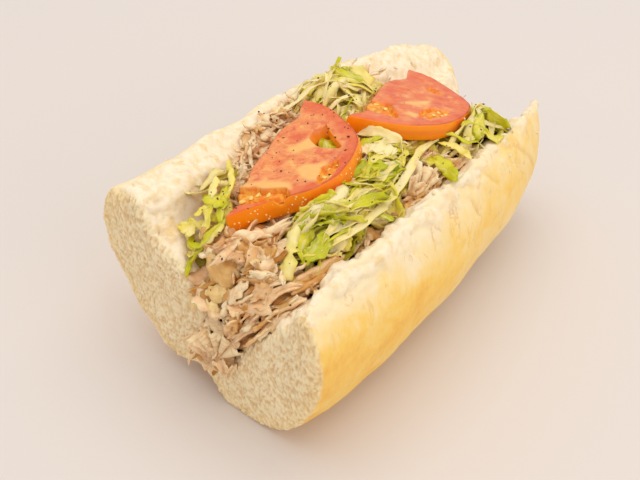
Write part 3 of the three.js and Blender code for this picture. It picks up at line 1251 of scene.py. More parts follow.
    def build(self) -> Object:
        """Makes the visible slice.

        Returns:
            The piece.
        """
        mesh = self.slab()
        open_chambers = [chamber for chamber in self.chambers if chamber.through]
        for chamber in open_chambers:
            mesh = carved(mesh, self.plug(chamber))
        local = coordinates(mesh)
        flat = local[:, :2]
        depth, jelly = self.sunken(flat)
        down = -local[:, 2] / self.thick
        to_arc = distance_to_line(flat, smooth_line(np.array(self.arc), 90))
        ragged = 1.2 * Noise(45).sample(local, 5.0)
        skin = ramp(0.62, 0.3, to_arc) * ramp(0.02, 0.06, down)
        for chamber in open_chambers:
            skin = np.maximum(skin, 0.9 * ramp(-1.0, -0.2, chamber.inside(flat)))
        pale = self.patches(flat, self.pale, ragged)
        ruddy = self.patches(flat, self.ruddy, ragged)
        rim = ramp(self.rim_width + 1.5, self.rim_width - 1.5, to_arc + ragged) * 0.9
        local[:, 2] -= depth * (1 - np.clip(down, 0, 1))
        flush = self.flush * ramp(-0.5, 0.5, Noise(47).fractal(local, 6.0, 2))
        place_vertices(mesh, self.placed(local))
        mesh.flip_normals()
        set_attribute(mesh, "skin", skin)
        set_attribute(mesh, "jelly", jelly)
        set_attribute(mesh, "pale", pale * (1 - jelly))
        set_attribute(mesh, "rim", np.maximum(rim, np.maximum(ruddy, flush)))
        return dress(new_object(f"{self.node}_slice", mesh, self.finish.make()), Slot.TOMATO, self.node)


NEAR_SLICE = TomatoSlice(
    node="tomato_near",
    at=(-16.178, -48.25, 76.5),
    normal=(-0.19, -0.14, 0.97),
    along=(-0.33, 0.94, 0.07),
    thick=7.5,
    arc=(
        (-37, 0.9), (-32.3, 6.7), (-26, 16.2), (-20.5, 26.1), (-15.7, 30.2), (-9.2, 33.7),
        (1.3, 34.7), (13.1, 31.7), (27.3, 18.3), (33.5, 9.5), (37.1, 0.4),
    ),
    cut=(
        (30, 1.5), (24.6, 2.8), (15.8, -1), (4.2, -1.2),
        (-8.9, -1.9), (-17.4, -0.4), (-22.1, -1.7), (-30, 2.1),
    ),
    chambers=(
        Chamber(((-30, 2), (-25, -3), (-21, -3), (-20.2, 7.7), (-19.3, 17), (-22.8, 19.4), (-26, 18),
            (-28, 11)), 2.6, seeds=6),
        Chamber(((19.4, 16.7), (13.5, 21), (6, 27.5), (5.6, 23.6), (6.2, 19), (11, 13.7), (14.7, 13.4)),
            through=True),
        Chamber(((-0.7, 30.4), (-4.4, 27.2), (-6.9, 25.3), (-13.8, 26.2), (-16.6, 27.8), (-14.1, 30),
            (-8.9, 31.4)), 2.0, seeds=4),
    ),
    pale=(
        ((-23, -1), (-18, -1), (-15.5, 6), (-16.5, 17), (-20, 19), (-20.7, 7.7)),
        ((-8.5, 15.5), (-5.5, 18.7), (-3.5, 25.5), (-7, 26.5), (-14.4, 27.5), (-15, 23.9), (-13.1, 19)),
        ((3.6, 7), (8.1, 10), (11.8, 13.5), (6.4, 18.5), (3.7, 15.5), (1.2, 10.7)),
    ),
    ruddy=(((11.5, 4), (14, 7), (14.8, 11.4), (10, 10.5), (9, 7)), ((34, 2), (28, 4), (26, 12), (32, 8))),
    seed=1,
)
FAR_SLICE = TomatoSlice(
    node="tomato_far",
    at=(-13.178, 17.25, 76.0),
    normal=(0, 0.195, 0.98),
    along=(-0.235, 0.953, -0.189),
    thick=6.5,
    arc=(
        (-34.5, 0.9), (-32.4, 7.6), (-30.7, 13.8), (-28, 19.6), (-22.2, 27.5), (-12.7, 34.4),
        (0.3, 36.9), (10.3, 35.6), (16, 31.7), (23.6, 21.7), (29.7, 12), (31.9, 3.4),
    ),
    cut=((31.3, 0), (20.7, 3), (14.4, -0.6), (5.8, -1.6), (-13.2, 1.3), (-19.4, 1.9), (-25.9, 4.4)),
    chambers=(
        Chamber(((-19.4, -2), (-14, -1), (-11, 8.4), (-18.2, 14.9), (-22, 16.4), (-22.4, 10.3),
            (-24.1, 4), (-24.6, -1)), 2.1, seeds=4),
        Chamber(((-10.3, 20.9), (-3.2, 22.5), (-0.3, 31.0), (-4.7, 31.2), (-14.5, 26.7), (-13.5, 22.2)),
            1.5, seeds=4),
        Chamber(((16.9, 13.6), (19.1, 15.8), (14, 22.1), (13.6, 17.8)), 1.6),
    ),
    pale=(((-7, 12), (-3, 13), (4, 20), (-2, 21)), ((-16, 17), (-12, 17), (-13, 22), (-17, 22))),
    ruddy=(
        ((20, 3), (27, 2), (26, 10), (18, 10)),
        ((-1, 1), (8, 1), (9, 9), (1, 8)),
        ((2, 26), (10, 28), (4, 33)),
    ),
    seed=2,
    flush=0.8,
)


@dataclass
class TomatoSeeds:
    """Flat pale seeds lying in the jelly of the slices; lengths are in millimetres."""

    length: float = 2.5
    width: float = 1.6
    height: float = 0.9
    gap: float = 2.0
    tries: int = 60
    round_steps: int = 12

    def spots(self, piece: TomatoSlice, chamber: Chamber, rng: Chances) -> list[Array]:
        """Where the seeds of a chamber lie.

        Args:
            piece: the slice.
            chamber: one of its chambers.
            rng: source of chances.

        Returns:
            Places along and across the cut edge.
        """
        outline = np.array(chamber.outline)
        size = (self.tries * chamber.seeds, 2)
        spots = rng.uniform(outline.min(axis=0), outline.max(axis=0), size)
        fits = (depth_inside(spots, outline) > 0.8) & (depth_inside(spots, piece.outline()) > 1.0)
        laid: list[Array] = []
        for spot in spots[fits]:
            clear = all(np.linalg.norm(spot - other) > self.gap for other in laid)
            if clear and len(laid) < chamber.seeds:
                laid.append(spot)
        return laid

    def seed(self, ball: Array, piece: TomatoSlice, spot: Array, rng: Chances) -> Array:
        """One seed, pointing at the middle of the slice.

        Args:
            ball: places of the round body that it is bent from.
            piece: the slice.
            spot: where it lies.
            rng: source of chances.

        Returns:
            Its places in the model.
        """
        heading = math.atan2(*(np.array(piece.middle) - spot)[::-1]) + rng.normal(0, 0.3)
        size = np.array([self.length, self.width, self.height]) / 2 * rng.uniform(0.85, 1.15)
        x, y, z = (ball * size).T
        y = y * (1 - 0.35 * x / size[0])
        z = z + rng.normal(0, 0.35) * y
        cos, sin = math.cos(heading), math.sin(heading)
        depth, _ = piece.sunken(spot[None])
        body = np.stack([x * cos - y * sin, x * sin + y * cos, z], axis=1)
        return piece.placed(body + [*spot, 0.15 - depth[0]])

    def build(self, slices: tuple[TomatoSlice, ...]) -> None:
        """Lays the seeds in the chambers.

        Args:
            slices: the slices.
        """
        rng = np.random.default_rng(8)
        grains = Grains(self.round_steps)
        for piece in slices:
            for chamber in piece.chambers:
                spots = self.spots(piece, chamber, rng)
                grains.bodies += [self.seed(grains.ball, piece, spot, rng) for spot in spots]
        mesh = grains.mesh()
        mesh.flip_normals()
        dress(new_object("tomato_seeds", mesh, TomatoFinish().seeds()), Slot.TOMATO)


# ---- thin pieces: chicken, onion and lettuce ----


@dataclass(frozen=True)
class Cut:
    """Sizes in millimetres and bends in radians of one kind of thin piece, each a lowest and highest."""

    length: Pair
    width: Pair
    thick: Pair
    arch: Pair = (-0.8, 0.8)
    curl: Pair = (-1.2, 1.2)
    twist: float = 0.3
    wave: float = 0.4
    ragged: float = 0.22
    narrow: float = 0.5
    rows: int = 11
    columns: int = 7

    def piece(self, rng: Chances) -> Array:
        """The middle surface of one piece, around its own centre.

        Args:
            rng: source of chances.

        Returns:
            A grid of places in millimetres; its rows run along the piece.
        """
        half_long = rng.uniform(*self.length) / 2
        half_wide = rng.uniform(*self.width) / 2
        s = np.linspace(-1, 1, self.rows)[:, None]
        t = np.linspace(-1, 1, self.columns)[None, :]
        waves = [wavering(rng) for _ in range(5)]
        sides = np.where(t < 0, waves[0](s), waves[1](s))
        wide = half_wide * (1 - self.narrow * np.abs(s) ** 2.6) * (1 + self.ragged * sides)
        tips = np.where(s < 0, waves[2](t), waves[3](t))
        far = half_long * (s + 0.5 * self.ragged * np.sign(s) * s**2 * tips)
        curl = rng.uniform(*self.curl) + 1e-3
        y = np.sin(curl * t) / curl * wide
        z = (1 - np.cos(curl * t)) / curl * wide + self.wave * waves[4](s + 0.6 * t)
        turn = self.twist * rng.normal() * s
        y, z = y * np.cos(turn) - z * np.sin(turn), y * np.sin(turn) + z * np.cos(turn)
        arch = rng.uniform(*self.arch) + 1e-3
        bow = half_long / arch
        angle = far / bow
        x = bow * np.sin(angle) - z * np.sin(angle)
        z = bow * (1 - np.cos(angle)) + z * np.cos(angle)
        return np.stack(np.broadcast_arrays(x, y, z), axis=-1)


def wavering(rng: Chances) -> Callable[[Array], Array]:
    """A wavy function of about -1 to 1 over lengths of about 2.

    Args:
        rng: source of chances.

    Returns:
        The function.
    """
    pace = rng.uniform((1.5, 3.5, 6.5), (3.5, 6.5, 11.0))
    start = rng.uniform(0, 2 * math.pi, 3)
    share = np.array([0.5, 0.32, 0.22])
    return lambda at: sum(k * np.sin(p * at + b) for k, p, b in zip(share, pace, start))


def stood(piece: Array, at: Array, heading: Array, out: Array) -> Array:
    """Turns a piece so that its length follows the heading and it faces out, and puts it somewhere."""
    ahead = unit(heading - out * (heading @ out))
    return at + piece @ np.array([ahead, np.cross(out, ahead), out])


class Sheets:
    """Thin closed pieces gathered into one mesh; places are in millimetres."""

    def __init__(self) -> None:
        """Starts empty."""
        self.vertices: list[Array] = []
        self.faces: list[Array] = []
        self.values: dict[str, list[Array]] = {}
        self.count = 0

    def add(
        self, middle: Array, thick: float, tone: float, green: float = 0.0, deep: float | Array = 0.0
    ) -> None:
        """Adds one piece.

        Args:
            middle: grid of places on its middle surface.
            thick: its thickness, less at its borders.
            tone: 0 to 1, how light it is.
            green: 0 to 1, how green.
            deep: 0 to 1, how far down in the pile it lies, for the piece or for each place, painted as
                shade.
        """
        rows, columns, _ = middle.shape
        normal = unit(np.cross(np.gradient(middle, axis=0), np.gradient(middle, axis=1)))
        s = np.linspace(-1, 1, rows)[:, None]
        t = np.linspace(-1, 1, columns)[None, :]
        border = np.maximum(np.abs(s), np.abs(t))
        half = normal * (thick / 2 * np.sqrt(1 - 0.92 * border**5))[..., None]
        self.vertices.append(np.stack([middle + half, middle - half]).reshape(-1, 3))
        self.faces.append(sheet_faces(rows, columns) + self.count)
        self.count += 2 * rows * columns
        steps = np.linalg.norm(np.diff(middle, axis=0), axis=2).mean(axis=1)
        along = np.concatenate([[0.0], np.cumsum(steps)])[:, None] + 0 * t
        wide = np.linalg.norm(middle[:, -1] - middle[:, 0], axis=1).mean()
        start = 37.0 * len(self.faces)
        grids = {
            "tone": tone + 0 * border,
            "edge": border**5,
            "along": along + start,
            "across": 0 * s + t * wide / 2 + start,
            "green": green + 0 * border,
            "deep": deep + 0 * border,
        }
        for name, grid in grids.items():
            self.values.setdefault(name, []).append(np.tile(grid.ravel(), 2))

    def build(self, name: str, material: Material, slot: Slot, crumpled: float) -> Object:
        """Makes one object of all the pieces.

        Args:
            name: of the object.
            material: of the object.
            slot: of the object.
            crumpled: how far small bends move the pieces, in millimetres.

        Returns:
            The object.
        """
        places = np.concatenate(self.vertices)
        for size, share in ((4.5, 1.0), (2.0, 0.5)):
            bends = [Noise(seed).sample(places, size) for seed in (71, 72, 73)]
            places = places + share * crumpled * np.stack(bends, axis=1)
        mesh = mesh_of(places * MM, np.concatenate(self.faces))
        for key, parts in self.values.items():
            set_attribute(mesh, key, np.concatenate(parts))
        return dress(new_object(name, mesh, material), slot)


def sheet_faces(rows: int, columns: int) -> Array:
    """Quads around a thin sheet: its upper side, its lower side and its borders.

    Args:
        rows: how many rows of vertices each side has.
        columns: how many columns.

    Returns:
        Rows of vertex numbers.
    """
    grid = np.arange(rows * columns).reshape(rows, columns)
    upper = np.stack([grid[:-1, :-1], grid[1:, :-1], grid[1:, 1:], grid[:-1, 1:]], axis=-1).reshape(-1, 4)
    loop = np.concatenate([grid[:-1, 0], grid[-1, :-1], grid[:0:-1, -1], grid[0, :0:-1]])
    after = np.roll(loop, -1)
    below = rows * columns
    wall = np.stack([loop + below, after + below, after, loop], axis=1)
    return np.concatenate([upper, upper[:, ::-1] + below, wall])


def ribbon(
    path: Array, width: float, rng: Chances, lean: float, twist: float, frill: float, columns: int = 5
) -> Array:
    """A frilled ribbon along a path.

    Args:
        path: rows of places along its middle, in millimetres.
        width: at its middle.
        rng: source of chances.
        lean: how far it is tipped on its side, in radians.
        twist: how much further it is tipped at its end.
        frill: height of the waves at its edges, as a share of its width.
        columns: of places across it.

    Returns:
        A grid of places on its middle surface.
    """
    count = len(path)
    s = np.linspace(-1, 1, count)[:, None]
    t = np.linspace(-1, 1, columns)[None, :]
    ahead = unit(np.gradient(path, axis=0))
    side = unit(np.cross((0, 0, 1.0), ahead) + 1e-9)
    out = np.cross(ahead, side)
    turn = lean + twist * s
    across = side * np.cos(turn) + out * np.sin(turn)
    face = out * np.cos(turn) - side * np.sin(turn)
    left_edge, right_edge, left_wave, right_wave = (wavering(rng) for _ in range(4))
    wide = width / 2 * (1 - 0.88 * np.abs(s) ** 3.5)
    wide = wide * (1 + 0.28 * np.where(t < 0, left_edge(1.4 * s), right_edge(1.4 * s)))
    height = width * frill
    waves = height * t**2 * np.where(t < 0, left_wave(2.6 * s), right_wave(2.6 * s))
    lift = waves + 0.25 * rng.normal() * width * t**2
    return path[:, None] + across[:, None] * (t * wide)[..., None] + face[:, None] * lift[..., None]


@dataclass(frozen=True)
class Strip:
    """One particular strip: its line and width in millimetres, how light or green it is, and its bends."""

    line: tuple[Place, ...]
    width: float
    shade: float
    lean: float = 0.0
    twist: float = 0.3
    frill: float = 0.2

    def shape(self, steps: int, rng: Chances) -> Array:
        """The middle surface of the strip in its place, with so many steps along it."""
        path = smooth_line(np.array(self.line), steps)
        return ribbon(path, self.width, rng, self.lean, self.twist, self.frill, 7)


@dataclass(frozen=True)
class Core:
    """A lumpy, shrunken body that the pieces of a heap lie on; sizes are in metres."""

    node: str
    name: str
    voxel: float
    smooth_passes: int
    lump: float
    lump_size: float
    seed: int
    shrink: float

    def shape(self) -> tuple[Mesh, Array]:
        """Makes it from its node.

        Returns:
            The mesh, and where its vertices belong.
        """
        mesh = remeshed(self.node, self.voxel)
        places = relaxed(coordinates(mesh), edge_ends(mesh), self.smooth_passes)
        place_vertices(mesh, places)
        lumps = self.lump * Noise(self.seed).fractal(places, self.lump_size, 2)
        return mesh, places + vertex_normals(mesh) * (lumps - self.shrink)[:, None]

    def finished(self, mesh: Mesh, places: Array, lit: Array, material: Material, slot: Slot) -> None:
        """Dresses it.

        Args:
            mesh: its mesh.
            places: where the vertices go.
            lit: 0 to 1, how pale each vertex is.
            material: of the piece.
            slot: of the piece.
        """
        place_vertices(mesh, places)
        set_attribute(mesh, "lit", lit)
        dress(new_object(self.name, mesh, material), slot, self.node)


def sprinkle(nodes: tuple[str, ...], rng: Chances, count: int, gap: float, facing: Vector) -> Spots:
    """Spots on the parts of the frame that face a direction or look up.

    Args:
        nodes: names of the nodes.
        rng: source of chances.
        count: how many to try.
        gap: least distance between two spots, in millimetres.
        facing: the direction that is looked along, towards the looker.

    Returns:
        The place, in millimetres, and the normal of each spot.
    """
    corners, normals, areas = [], [], []
    for node in nodes:
        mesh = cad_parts[node].data
        mesh.calc_loop_triangles()
        for triangle in mesh.loop_triangles:
            if triangle.normal.z > 0.25 or triangle.normal.dot(facing) > 0.35:
                corners.append([list(mesh.vertices[i].co) for i in triangle.vertices])
                normals.append(list(triangle.normal))
                areas.append(triangle.area)
    corners, normals, areas = np.array(corners) / MM, np.array(normals), np.array(areas)
    picks = rng.choice(len(areas), size=count, p=areas / areas.sum())
    a, b = rng.random((2, count, 1))
    a, b = np.where(a + b > 1, 1 - a, a), np.where(a + b > 1, 1 - b, b)
    first, second, third = corners[picks].transpose(1, 0, 2)
    places = first + a * (second - first) + b * (third - first)
    kept: list[int] = []
    for index, place in enumerate(places):
        if not kept or np.min(np.linalg.norm(places[kept] - place, axis=1)) > gap:
            kept.append(index)
    return [(places[i], normals[picks[i]]) for i in kept]


# ---- the chicken and onion ----


@dataclass(frozen=True)
class FillingFinish:
    """Pale shaved chicken with cream edges, amber onion, and painted shade for the gaps between."""

    # Painted shade for the gaps between the pieces, on the core.
    core_shade: Colour = srgb(126, 68, 6)
    gap: Colour = srgb(70, 30, 2)
    tan: Colour = srgb(203, 139, 60)
    beige: Colour = srgb(230, 179, 108)
    pink: Colour = srgb(245, 199, 150)
    cream: Colour = srgb(255, 229, 184)
    # Browned patches of the chicken, and painted shade on pieces deep in the pile.
    brown: Colour = srgb(160, 90, 12)
    amber: Colour = srgb(216, 154, 76)
    honey: Colour = srgb(236, 188, 112)
    glassy_and_rim_highlight: Colour = srgb(250, 220, 160)

    def core(self) -> Material:
        """What shows between the pieces: painted shade, paler where lit is high.

        Returns:
            The material.
        """
        shader = Shader("filling_core_shade")
        colour = shader.ramp(shader.noise(3 * MM, 3.0), (0.38, self.gap), (0.62, self.core_shade))
        shader.set(Base_Color=shader.blend(shader.attribute("lit"), colour, self.beige), Roughness=0.6)
        shader.relief(shader.noise(1.5 * MM), 0.4 * MM, 0.7)
        return shader.material

    def fibres(self, shader: Shader) -> Socket:
        """Fine lines along a piece."""
        return shader.noise(0.8, 3.0, 0.6, shader.on_sheet(0.22))

    def chicken(self) -> Material:
        """The finish of the chicken pieces.

        Returns:
            The material.
        """
        shader = Shader("chicken")
        tone = shader.varied(shader.attribute("tone"), shader.noise(3.5 * MM, 3.0), 0.6)
        colour = shader.ramp(tone, (0.1, self.tan), (0.42, self.beige), (0.74, self.pink), (1.0, self.cream))
        fibres = self.fibres(shader)
        colour = shader.blend(shader.ramp(fibres, (0.5, 0.0), (0.72, 0.6)), colour, self.tan)
        pale = shader.patches(0.45, 0.62, 0.8, 5 * MM, 2.0)
        colour = shader.blend(shader.times(shader.attribute("edge"), pale), colour, self.cream)
        browned = shader.patches(0.6, 0.74, 0.5, 4 * MM, 4.0, 0.65, warp=0.8)
        colour = shader.blend(browned, colour, self.brown)
        # Painted shade: pieces lower in the pile are darkened towards brown.
        colour = shader.blend(shader.times(shader.attribute("deep"), 0.6), colour, self.brown)
        shader.set(Base_Color=colour, Roughness=0.45, Specular_IOR_Level=0.25)
        shader.set(Coat_Weight=0.05, Coat_Roughness=0.2)
        shader.set(Subsurface_Weight=0.25, Subsurface_Scale=1.4 * MM, Subsurface_Radius=(1.0, 0.85, 0.7))
        shader.relief(fibres, 0.4 * MM, 0.9)
        return shader.material

    def onion(self) -> Material:
        """The finish of the cooked onion.

        Returns:
            The material.
        """
        shader = Shader("onion")
        tone = shader.varied(shader.attribute("tone"), shader.noise(4 * MM, 3.0, 0.6, warp=0.6), 1.1)
        colour = shader.ramp(tone, (0.1, self.amber), (0.5, self.honey), (0.95, self.glassy_and_rim_highlight))
        fibres = self.fibres(shader)
        colour = shader.blend(shader.ramp(fibres, (0.48, 0.0), (0.72, 0.6)), colour, self.amber)
        # Painted highlight: the edges of the onion pieces are lightened.
        colour = shader.blend(shader.times(shader.attribute("edge"), 0.8), colour, self.glassy_and_rim_highlight)
        shader.set(Base_Color=colour, Roughness=0.3, Specular_IOR_Level=0.45)
        shader.set(Coat_Weight=0.2, Coat_Roughness=0.12)
        shader.set(Subsurface_Weight=0.3, Subsurface_Scale=2.0 * MM, Subsurface_Radius=(1.0, 0.7, 0.35))
        shader.relief(fibres, 0.25 * MM, 0.7)
        return shader.material


@dataclass(frozen=True)
class Fan:
    """A pleated piece of chicken: its foot, where it points and faces, and its sizes in millimetres."""

    at: Place
    heading: Place
    out: Place
    reach: float
    spread: float
    folds: float
    pleat: float
    droop: float
    turn: float
    thick: float
    tone: float
    torn: float = 0.1

    def shape(self, rng: Chances) -> tuple[Array, Array]:
        """The piece in its place.

        Args:
            rng: source of chances.

        Returns:
            A grid of places on its middle surface, and how deep each lies in the folds, painted as shade.
        """
        angle = np.linspace(-1, 1, 34)[:, None] * self.spread / 2
        share = np.linspace(0.04, 1.0, 14)[None, :]
        torn = wavering(rng)
        reach = self.reach * share * (1 + self.torn * torn(3.2 * angle) * share)
        pleats = self.pleat * share * np.sin(self.folds * angle / self.spread * 2 * math.pi + self.turn)
        droop = self.droop * share**2 * self.reach
        flat = np.stack([reach * np.cos(angle), reach * np.sin(angle), pleats + droop + 0 * reach], axis=-1)
        # Painted shade near the foot and in the valleys of the pleats.
        deep = 0.9 * (1 - share) ** 1.5 + 0.5 * ramp(0.2, -0.9, pleats / self.pleat) * (1 - share)
        grid = stood(flat, np.array(self.at), unit(np.array(self.heading)), unit(np.array(self.out)))
        return grid, np.minimum(deep, 1.0)


@dataclass(frozen=True)
class Flap:
    """One particular piece at the front: its two ends, where it faces, and its sizes in millimetres."""

    start: Place
    stop: Place
    wide: float
    out: Place
    tone: float
    lift: float = 1.5
    curl: float = -0.5
    arch: float = -0.3

    def shape(self, cut: Cut, rng: Chances) -> Array:
        """The piece of a kind, in its place.

        Args:
            cut: its kind.
            rng: source of chances.

        Returns:
            A grid of places on its middle surface.
        """
        start, stop, out = np.array(self.start), np.array(self.stop), unit(np.array(self.out))
        length = float(np.linalg.norm(stop - start))
        sizes = {"length": length, "width": self.wide, "curl": self.curl, "arch": self.arch}
        exact = replace(cut, **{name: (size, size) for name, size in sizes.items()})
        return stood(exact.piece(rng), (start + stop) / 2 + out * self.lift, unit(stop - start), out)


@dataclass(frozen=True)
class Layer:
    """Pieces of one kind laid over the whole filling; lengths are in millimetres."""

    cut: Cut
    tries: int
    gap: float
    lift: Pair
    loose: float
    front_share: float = 1.0


class Spot:
    """A place on the filling, in millimetres, and the parts of the sandwich that it lies in."""

    def __init__(self, place: Array) -> None:
        """Compares the place with the borders of the parts.

        Args:
            place: on the surface of the filling.
        """
        x, y, z = place
        at_cut_end = y < -72
        self.in_fold = at_cut_end and x > -1 and z < 43
        self.at_front = y < -84
        self.at_left = x < -6
        self.under_left_lettuce = x < -7 and y < -78
        self.at_far_end = y > 24
        self.beside_crust = at_cut_end and x > 13 and z < 66
        self.in_front = at_cut_end and not self.beside_crust
        self.along_crust = x > 22
        self.at_crust = x > 27
        self.low_down = ramp(42.0, 28.0, z)


@dataclass
class Filling:
    """Shaved chicken and cooked onion piled over a core coloured as painted shade."""

    core: Core = Core("chicken_filling", "chicken_core", 1.8 * MM, 4, 0.9 * MM, 6 * MM, 51, 2.6 * MM)
    flakes: Layer = Layer(
        Cut((8, 19), (4, 10), (1.0, 2.0), (-1.2, 1.2), (-1.8, 1.8), 0.5, 1.0, 0.6, 0.1, 15, 9),
        5600, 3.9, (-2.0, 1.8), 0.32,
    )
    shreds: Layer = Layer(
        Cut((10, 28), (1.2, 3.0), (0.8, 1.5), (-0.9, 0.9), (-1.2, 1.2), 0.5, 0.9, 0.5, 0.4, 15, 5),
        6000, 3.2, (-0.8, 1.9), 0.25, 0.5,
    )
    onions: Layer = Layer(
        Cut((9, 13), (7, 10), (0.8, 1.2), (-0.6, -0.1), (-1.2, -0.4), 0.25, 0.7, 0.34, 0.35, 19, 15),
        900, 14.0, (0.2, 1.4), 0.2,
    )
    fans: tuple[Fan, ...] = (
        Fan((9.0, -103.0, 29.0), (-0.05, 0.0, 1.0), (0.25, -0.95, 0.25), 11.5, 2.3, 4.5, 1.7, 0.1, 0.0,
            1.0, 1.0),
        Fan((4.5, -103.4, 24.5), (-0.45, 0.0, 0.9), (-0.1, -0.95, 0.2), 9.5, 2.3, 3.5, 1.4, 0.2, 1.0, 0.9,
            0.85),
        Fan((12.5, -102.8, 21.0), (0.1, -0.1, 1.0), (0.5, -0.8, 0.2), 7.5, 1.2, 1.6, 1.3, 0.1, 2.0, 0.9,
            0.9, 0.35),
        Fan((12.5, -99.0, 34.0), (0.5, 0.2, 0.9), (0.2, -0.9, 0.4), 12.0, 1.7, 3.0, 1.3, 0.1, 0.6, 0.8, 0.6),
        Fan((30.5, -17.0, 63.5), (0.45, 0.55, 0.75), (0.75, -0.55, 0.45), 11.0, 2.3, 5.0, 1.7, -0.25, 0.0,
            0.8, 1.0, 0.18),
        Fan((29.5, -22.5, 63.0), (0.7, 0.2, 0.6), (0.4, -0.8, 0.5), 9.0, 1.9, 4.0, 1.5, -0.2, 1.4, 0.8,
            0.9, 0.18),
        Fan((12.0, -90.0, 62.0), (0.6, 0.5, 0.6), (0.0, -0.7, 0.7), 10.0, 1.8, 2.0, 0.8, 0.15, 0.4, 0.8,
            0.75),
    )
    pulled: tuple[Strip, ...] = (
        Strip(((20.7, -98.8, 48), (23.8, -94.8, 55.5), (27.5, -89.5, 62.5), (33, -84, 64.7)), 3.2, 0.75,
            0.2),
        Strip(((23.8, -98.6, 48.5), (29.1, -94, 57), (34.8, -87.5, 63.2)), 3.4, 0.45, -0.3),
        Strip(((25.4, -98.8, 46.5), (29.2, -95.7, 53.7), (34.4, -92, 59.7)), 2.8, 0.9, 0.4),
        Strip(((17, -99.4, 45), (20.5, -97.2, 50.7), (24, -92.7, 58.2), (27, -88, 63.7)), 2.8, 0.85, 0.3),
        Strip(((21, -100.4, 41), (25, -98.9, 47), (28.5, -96.3, 52.3), (31, -94.3, 56)), 3.2, 0.6, -0.2),
        Strip(((12, -97.2, 51.5), (17, -94.8, 57), (22, -90.2, 62.5), (28, -86.5, 65.5)), 3.6, 0.95, 0.1),
        Strip(((28, -86, 64.5), (32, -80, 66), (34.5, -72, 66.5), (34.5, -64, 66)), 3.0, 0.35, 0.4),
        Strip(((30, -84, 66), (33, -76, 67.2), (34, -68, 67)), 2.2, 0.65, 0.5),
        Strip(((31.5, -88, 63), (34.5, -81, 65), (36, -74, 65)), 2.4, 0.2, 0.4),
        Strip(((14, -90.7, 63), (19, -88.7, 65.7), (25, -87, 66)), 3.8, 0.95, -0.2),
        Strip(((27, -94.8, 54.5), (31, -91.8, 59.5), (36, -87.5, 63.5)), 3.4, 0.4, 0.2),
        Strip(((29, -94, 56), (33, -91, 60.5), (37.5, -87, 64)), 2.8, 0.7, -0.2),
    )
    petals: tuple[Flap, ...] = (
        Flap((-3.4, -92.6, 58.3), (10.4, -91.0, 60.6), 12.0, (0.15, -0.8, 0.55), 0.4, 2.6, -0.7, -0.6),
        Flap((4.6, -85.8, 65.6), (15.6, -79.6, 66.9), 6.5, (0.0, -0.35, 0.95), 0.05, 2.2),
        Flap((9.8, -88.9, 63.6), (22.0, -81.5, 65.2), 9.0, (0.2, -0.65, 0.7), 0.35, 2.8, -0.5, -0.4),
        Flap((0.3, -96.2, 52.2), (9.2, -95.2, 53.7), 6.5, (0.0, -0.85, 0.5), 0.7, 2.2, -0.8),
        Flap((1.6, -98.6, 48.4), (8.6, -98.4, 47.6), 7.0, (0.05, -0.95, 0.25), 0.95, 2.2, -0.9),
        Flap((-4.5, -95.5, 52.8), (-2.8, -98.9, 43.2), 6.5, (-0.1, -0.85, 0.5), 0.7, 1.6),
        Flap((8.2, -94.5, 56.0), (12.0, -96.0, 50.5), 5.0, (0.0, -0.9, 0.4), 0.0, 1.2),
    )
    flaps: tuple[Flap, ...] = (
        Flap((-1.5, -87.8, 65.2), (5.4, -83.8, 66.2), 3.6, (0.1, -0.4, 0.9), 0.85, 2.0),
        Flap((0.5, -84.2, 66.4), (11.5, -75.0, 67.2), 4.6, (0.1, -0.4, 0.9), 0.95, 2.6, 0.5),
        Flap((15.0, -90.2, 62.6), (23.0, -86.6, 65.6), 2.3, (0.3, -0.6, 0.7), 1.0, 3.0),
        Flap((12.0, -91.7, 59.9), (25.6, -86.0, 65.0), 3.2, (0.2, -0.8, 0.5), 0.5, 1.8),
        Flap((14.8, -90.9, 61.2), (13.6, -95.8, 52.9), 4.6, (-0.1, -0.85, 0.5), 0.95, 3.0, -0.5),
        Flap((18.8, -93.5, 56.8), (23.6, -88.8, 62.8), 4.2, (0.1, -0.8, 0.6), 0.6, 2.4, 0.3),
        Flap((11.5, -95.2, 53.6), (10.7, -98.6, 46.2), 2.3, (-0.1, -0.9, 0.4), 0.95, 2.4),
        Flap((13.0, -97.0, 51.0), (21.0, -94.6, 54.6), 6.5, (0.1, -0.9, 0.4), 0.15, 0.8, 0.3),
        Flap((4.9, -74.5, 67.5), (15.8, -77.8, 67.1), 5.0, (0.1, -0.4, 0.95), 0.9, 1.4),
        Flap((-6.5, -91.0, 60.0), (-1.8, -88.8, 63.5), 3.0, (-0.1, -0.6, 0.7), 1.0, 2.0),
        Flap((12.0, -99.0, 47.0), (18.0, -97.5, 48.5), 6.0, (0.1, -0.95, 0.3), 0.5, 1.0, 0.4),
        Flap((1.5, -98.5, 41.5), (10.5, -98.8, 41.0), 7.0, (0.1, -0.85, 0.5), 0.95, 0.8, 0.4),
        Flap((8.5, -99.5, 38.0), (15.5, -98.5, 42.0), 6.5, (0.2, -0.9, 0.3), 0.75, 0.6, 0.3),
        Flap((-1.0, -99.5, 37.0), (5.0, -100.5, 36.0), 6.0, (-0.1, -0.9, 0.3), 0.85, 0.4, 0.3),
        Flap((4.0, -100.5, 25.0), (13.0, -100.2, 25.5), 8.0, (0.1, -0.95, 0.2), 0.6, 0.3, 0.2),
    )
    strand_thick: float = 1.3
    flap_thick: float = 1.5
    petal_thick: float = 0.9
    hidden_share: float = 0.7
    seed: int = 5
    finish: FillingFinish = FillingFinish()

    def heart(self) -> None:
        """Makes the core, clear of the cut end and of the fold."""
        mesh, places = self.core.shape()
        low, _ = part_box("roll")
        places[:, 1] = np.maximum(places[:, 1], low.y + 7 * MM * ramp(44 * MM, 30 * MM, places[:, 2]))
        places[:, 2] = np.maximum(places[:, 2], 20 * MM)
        # The core gets less painted shade towards the left.
        lit = 0.75 * ramp(-4 * MM, -9 * MM, places[:, 0])
        self.core.finished(mesh, places, lit, self.finish.core(), Slot.CHICKEN)

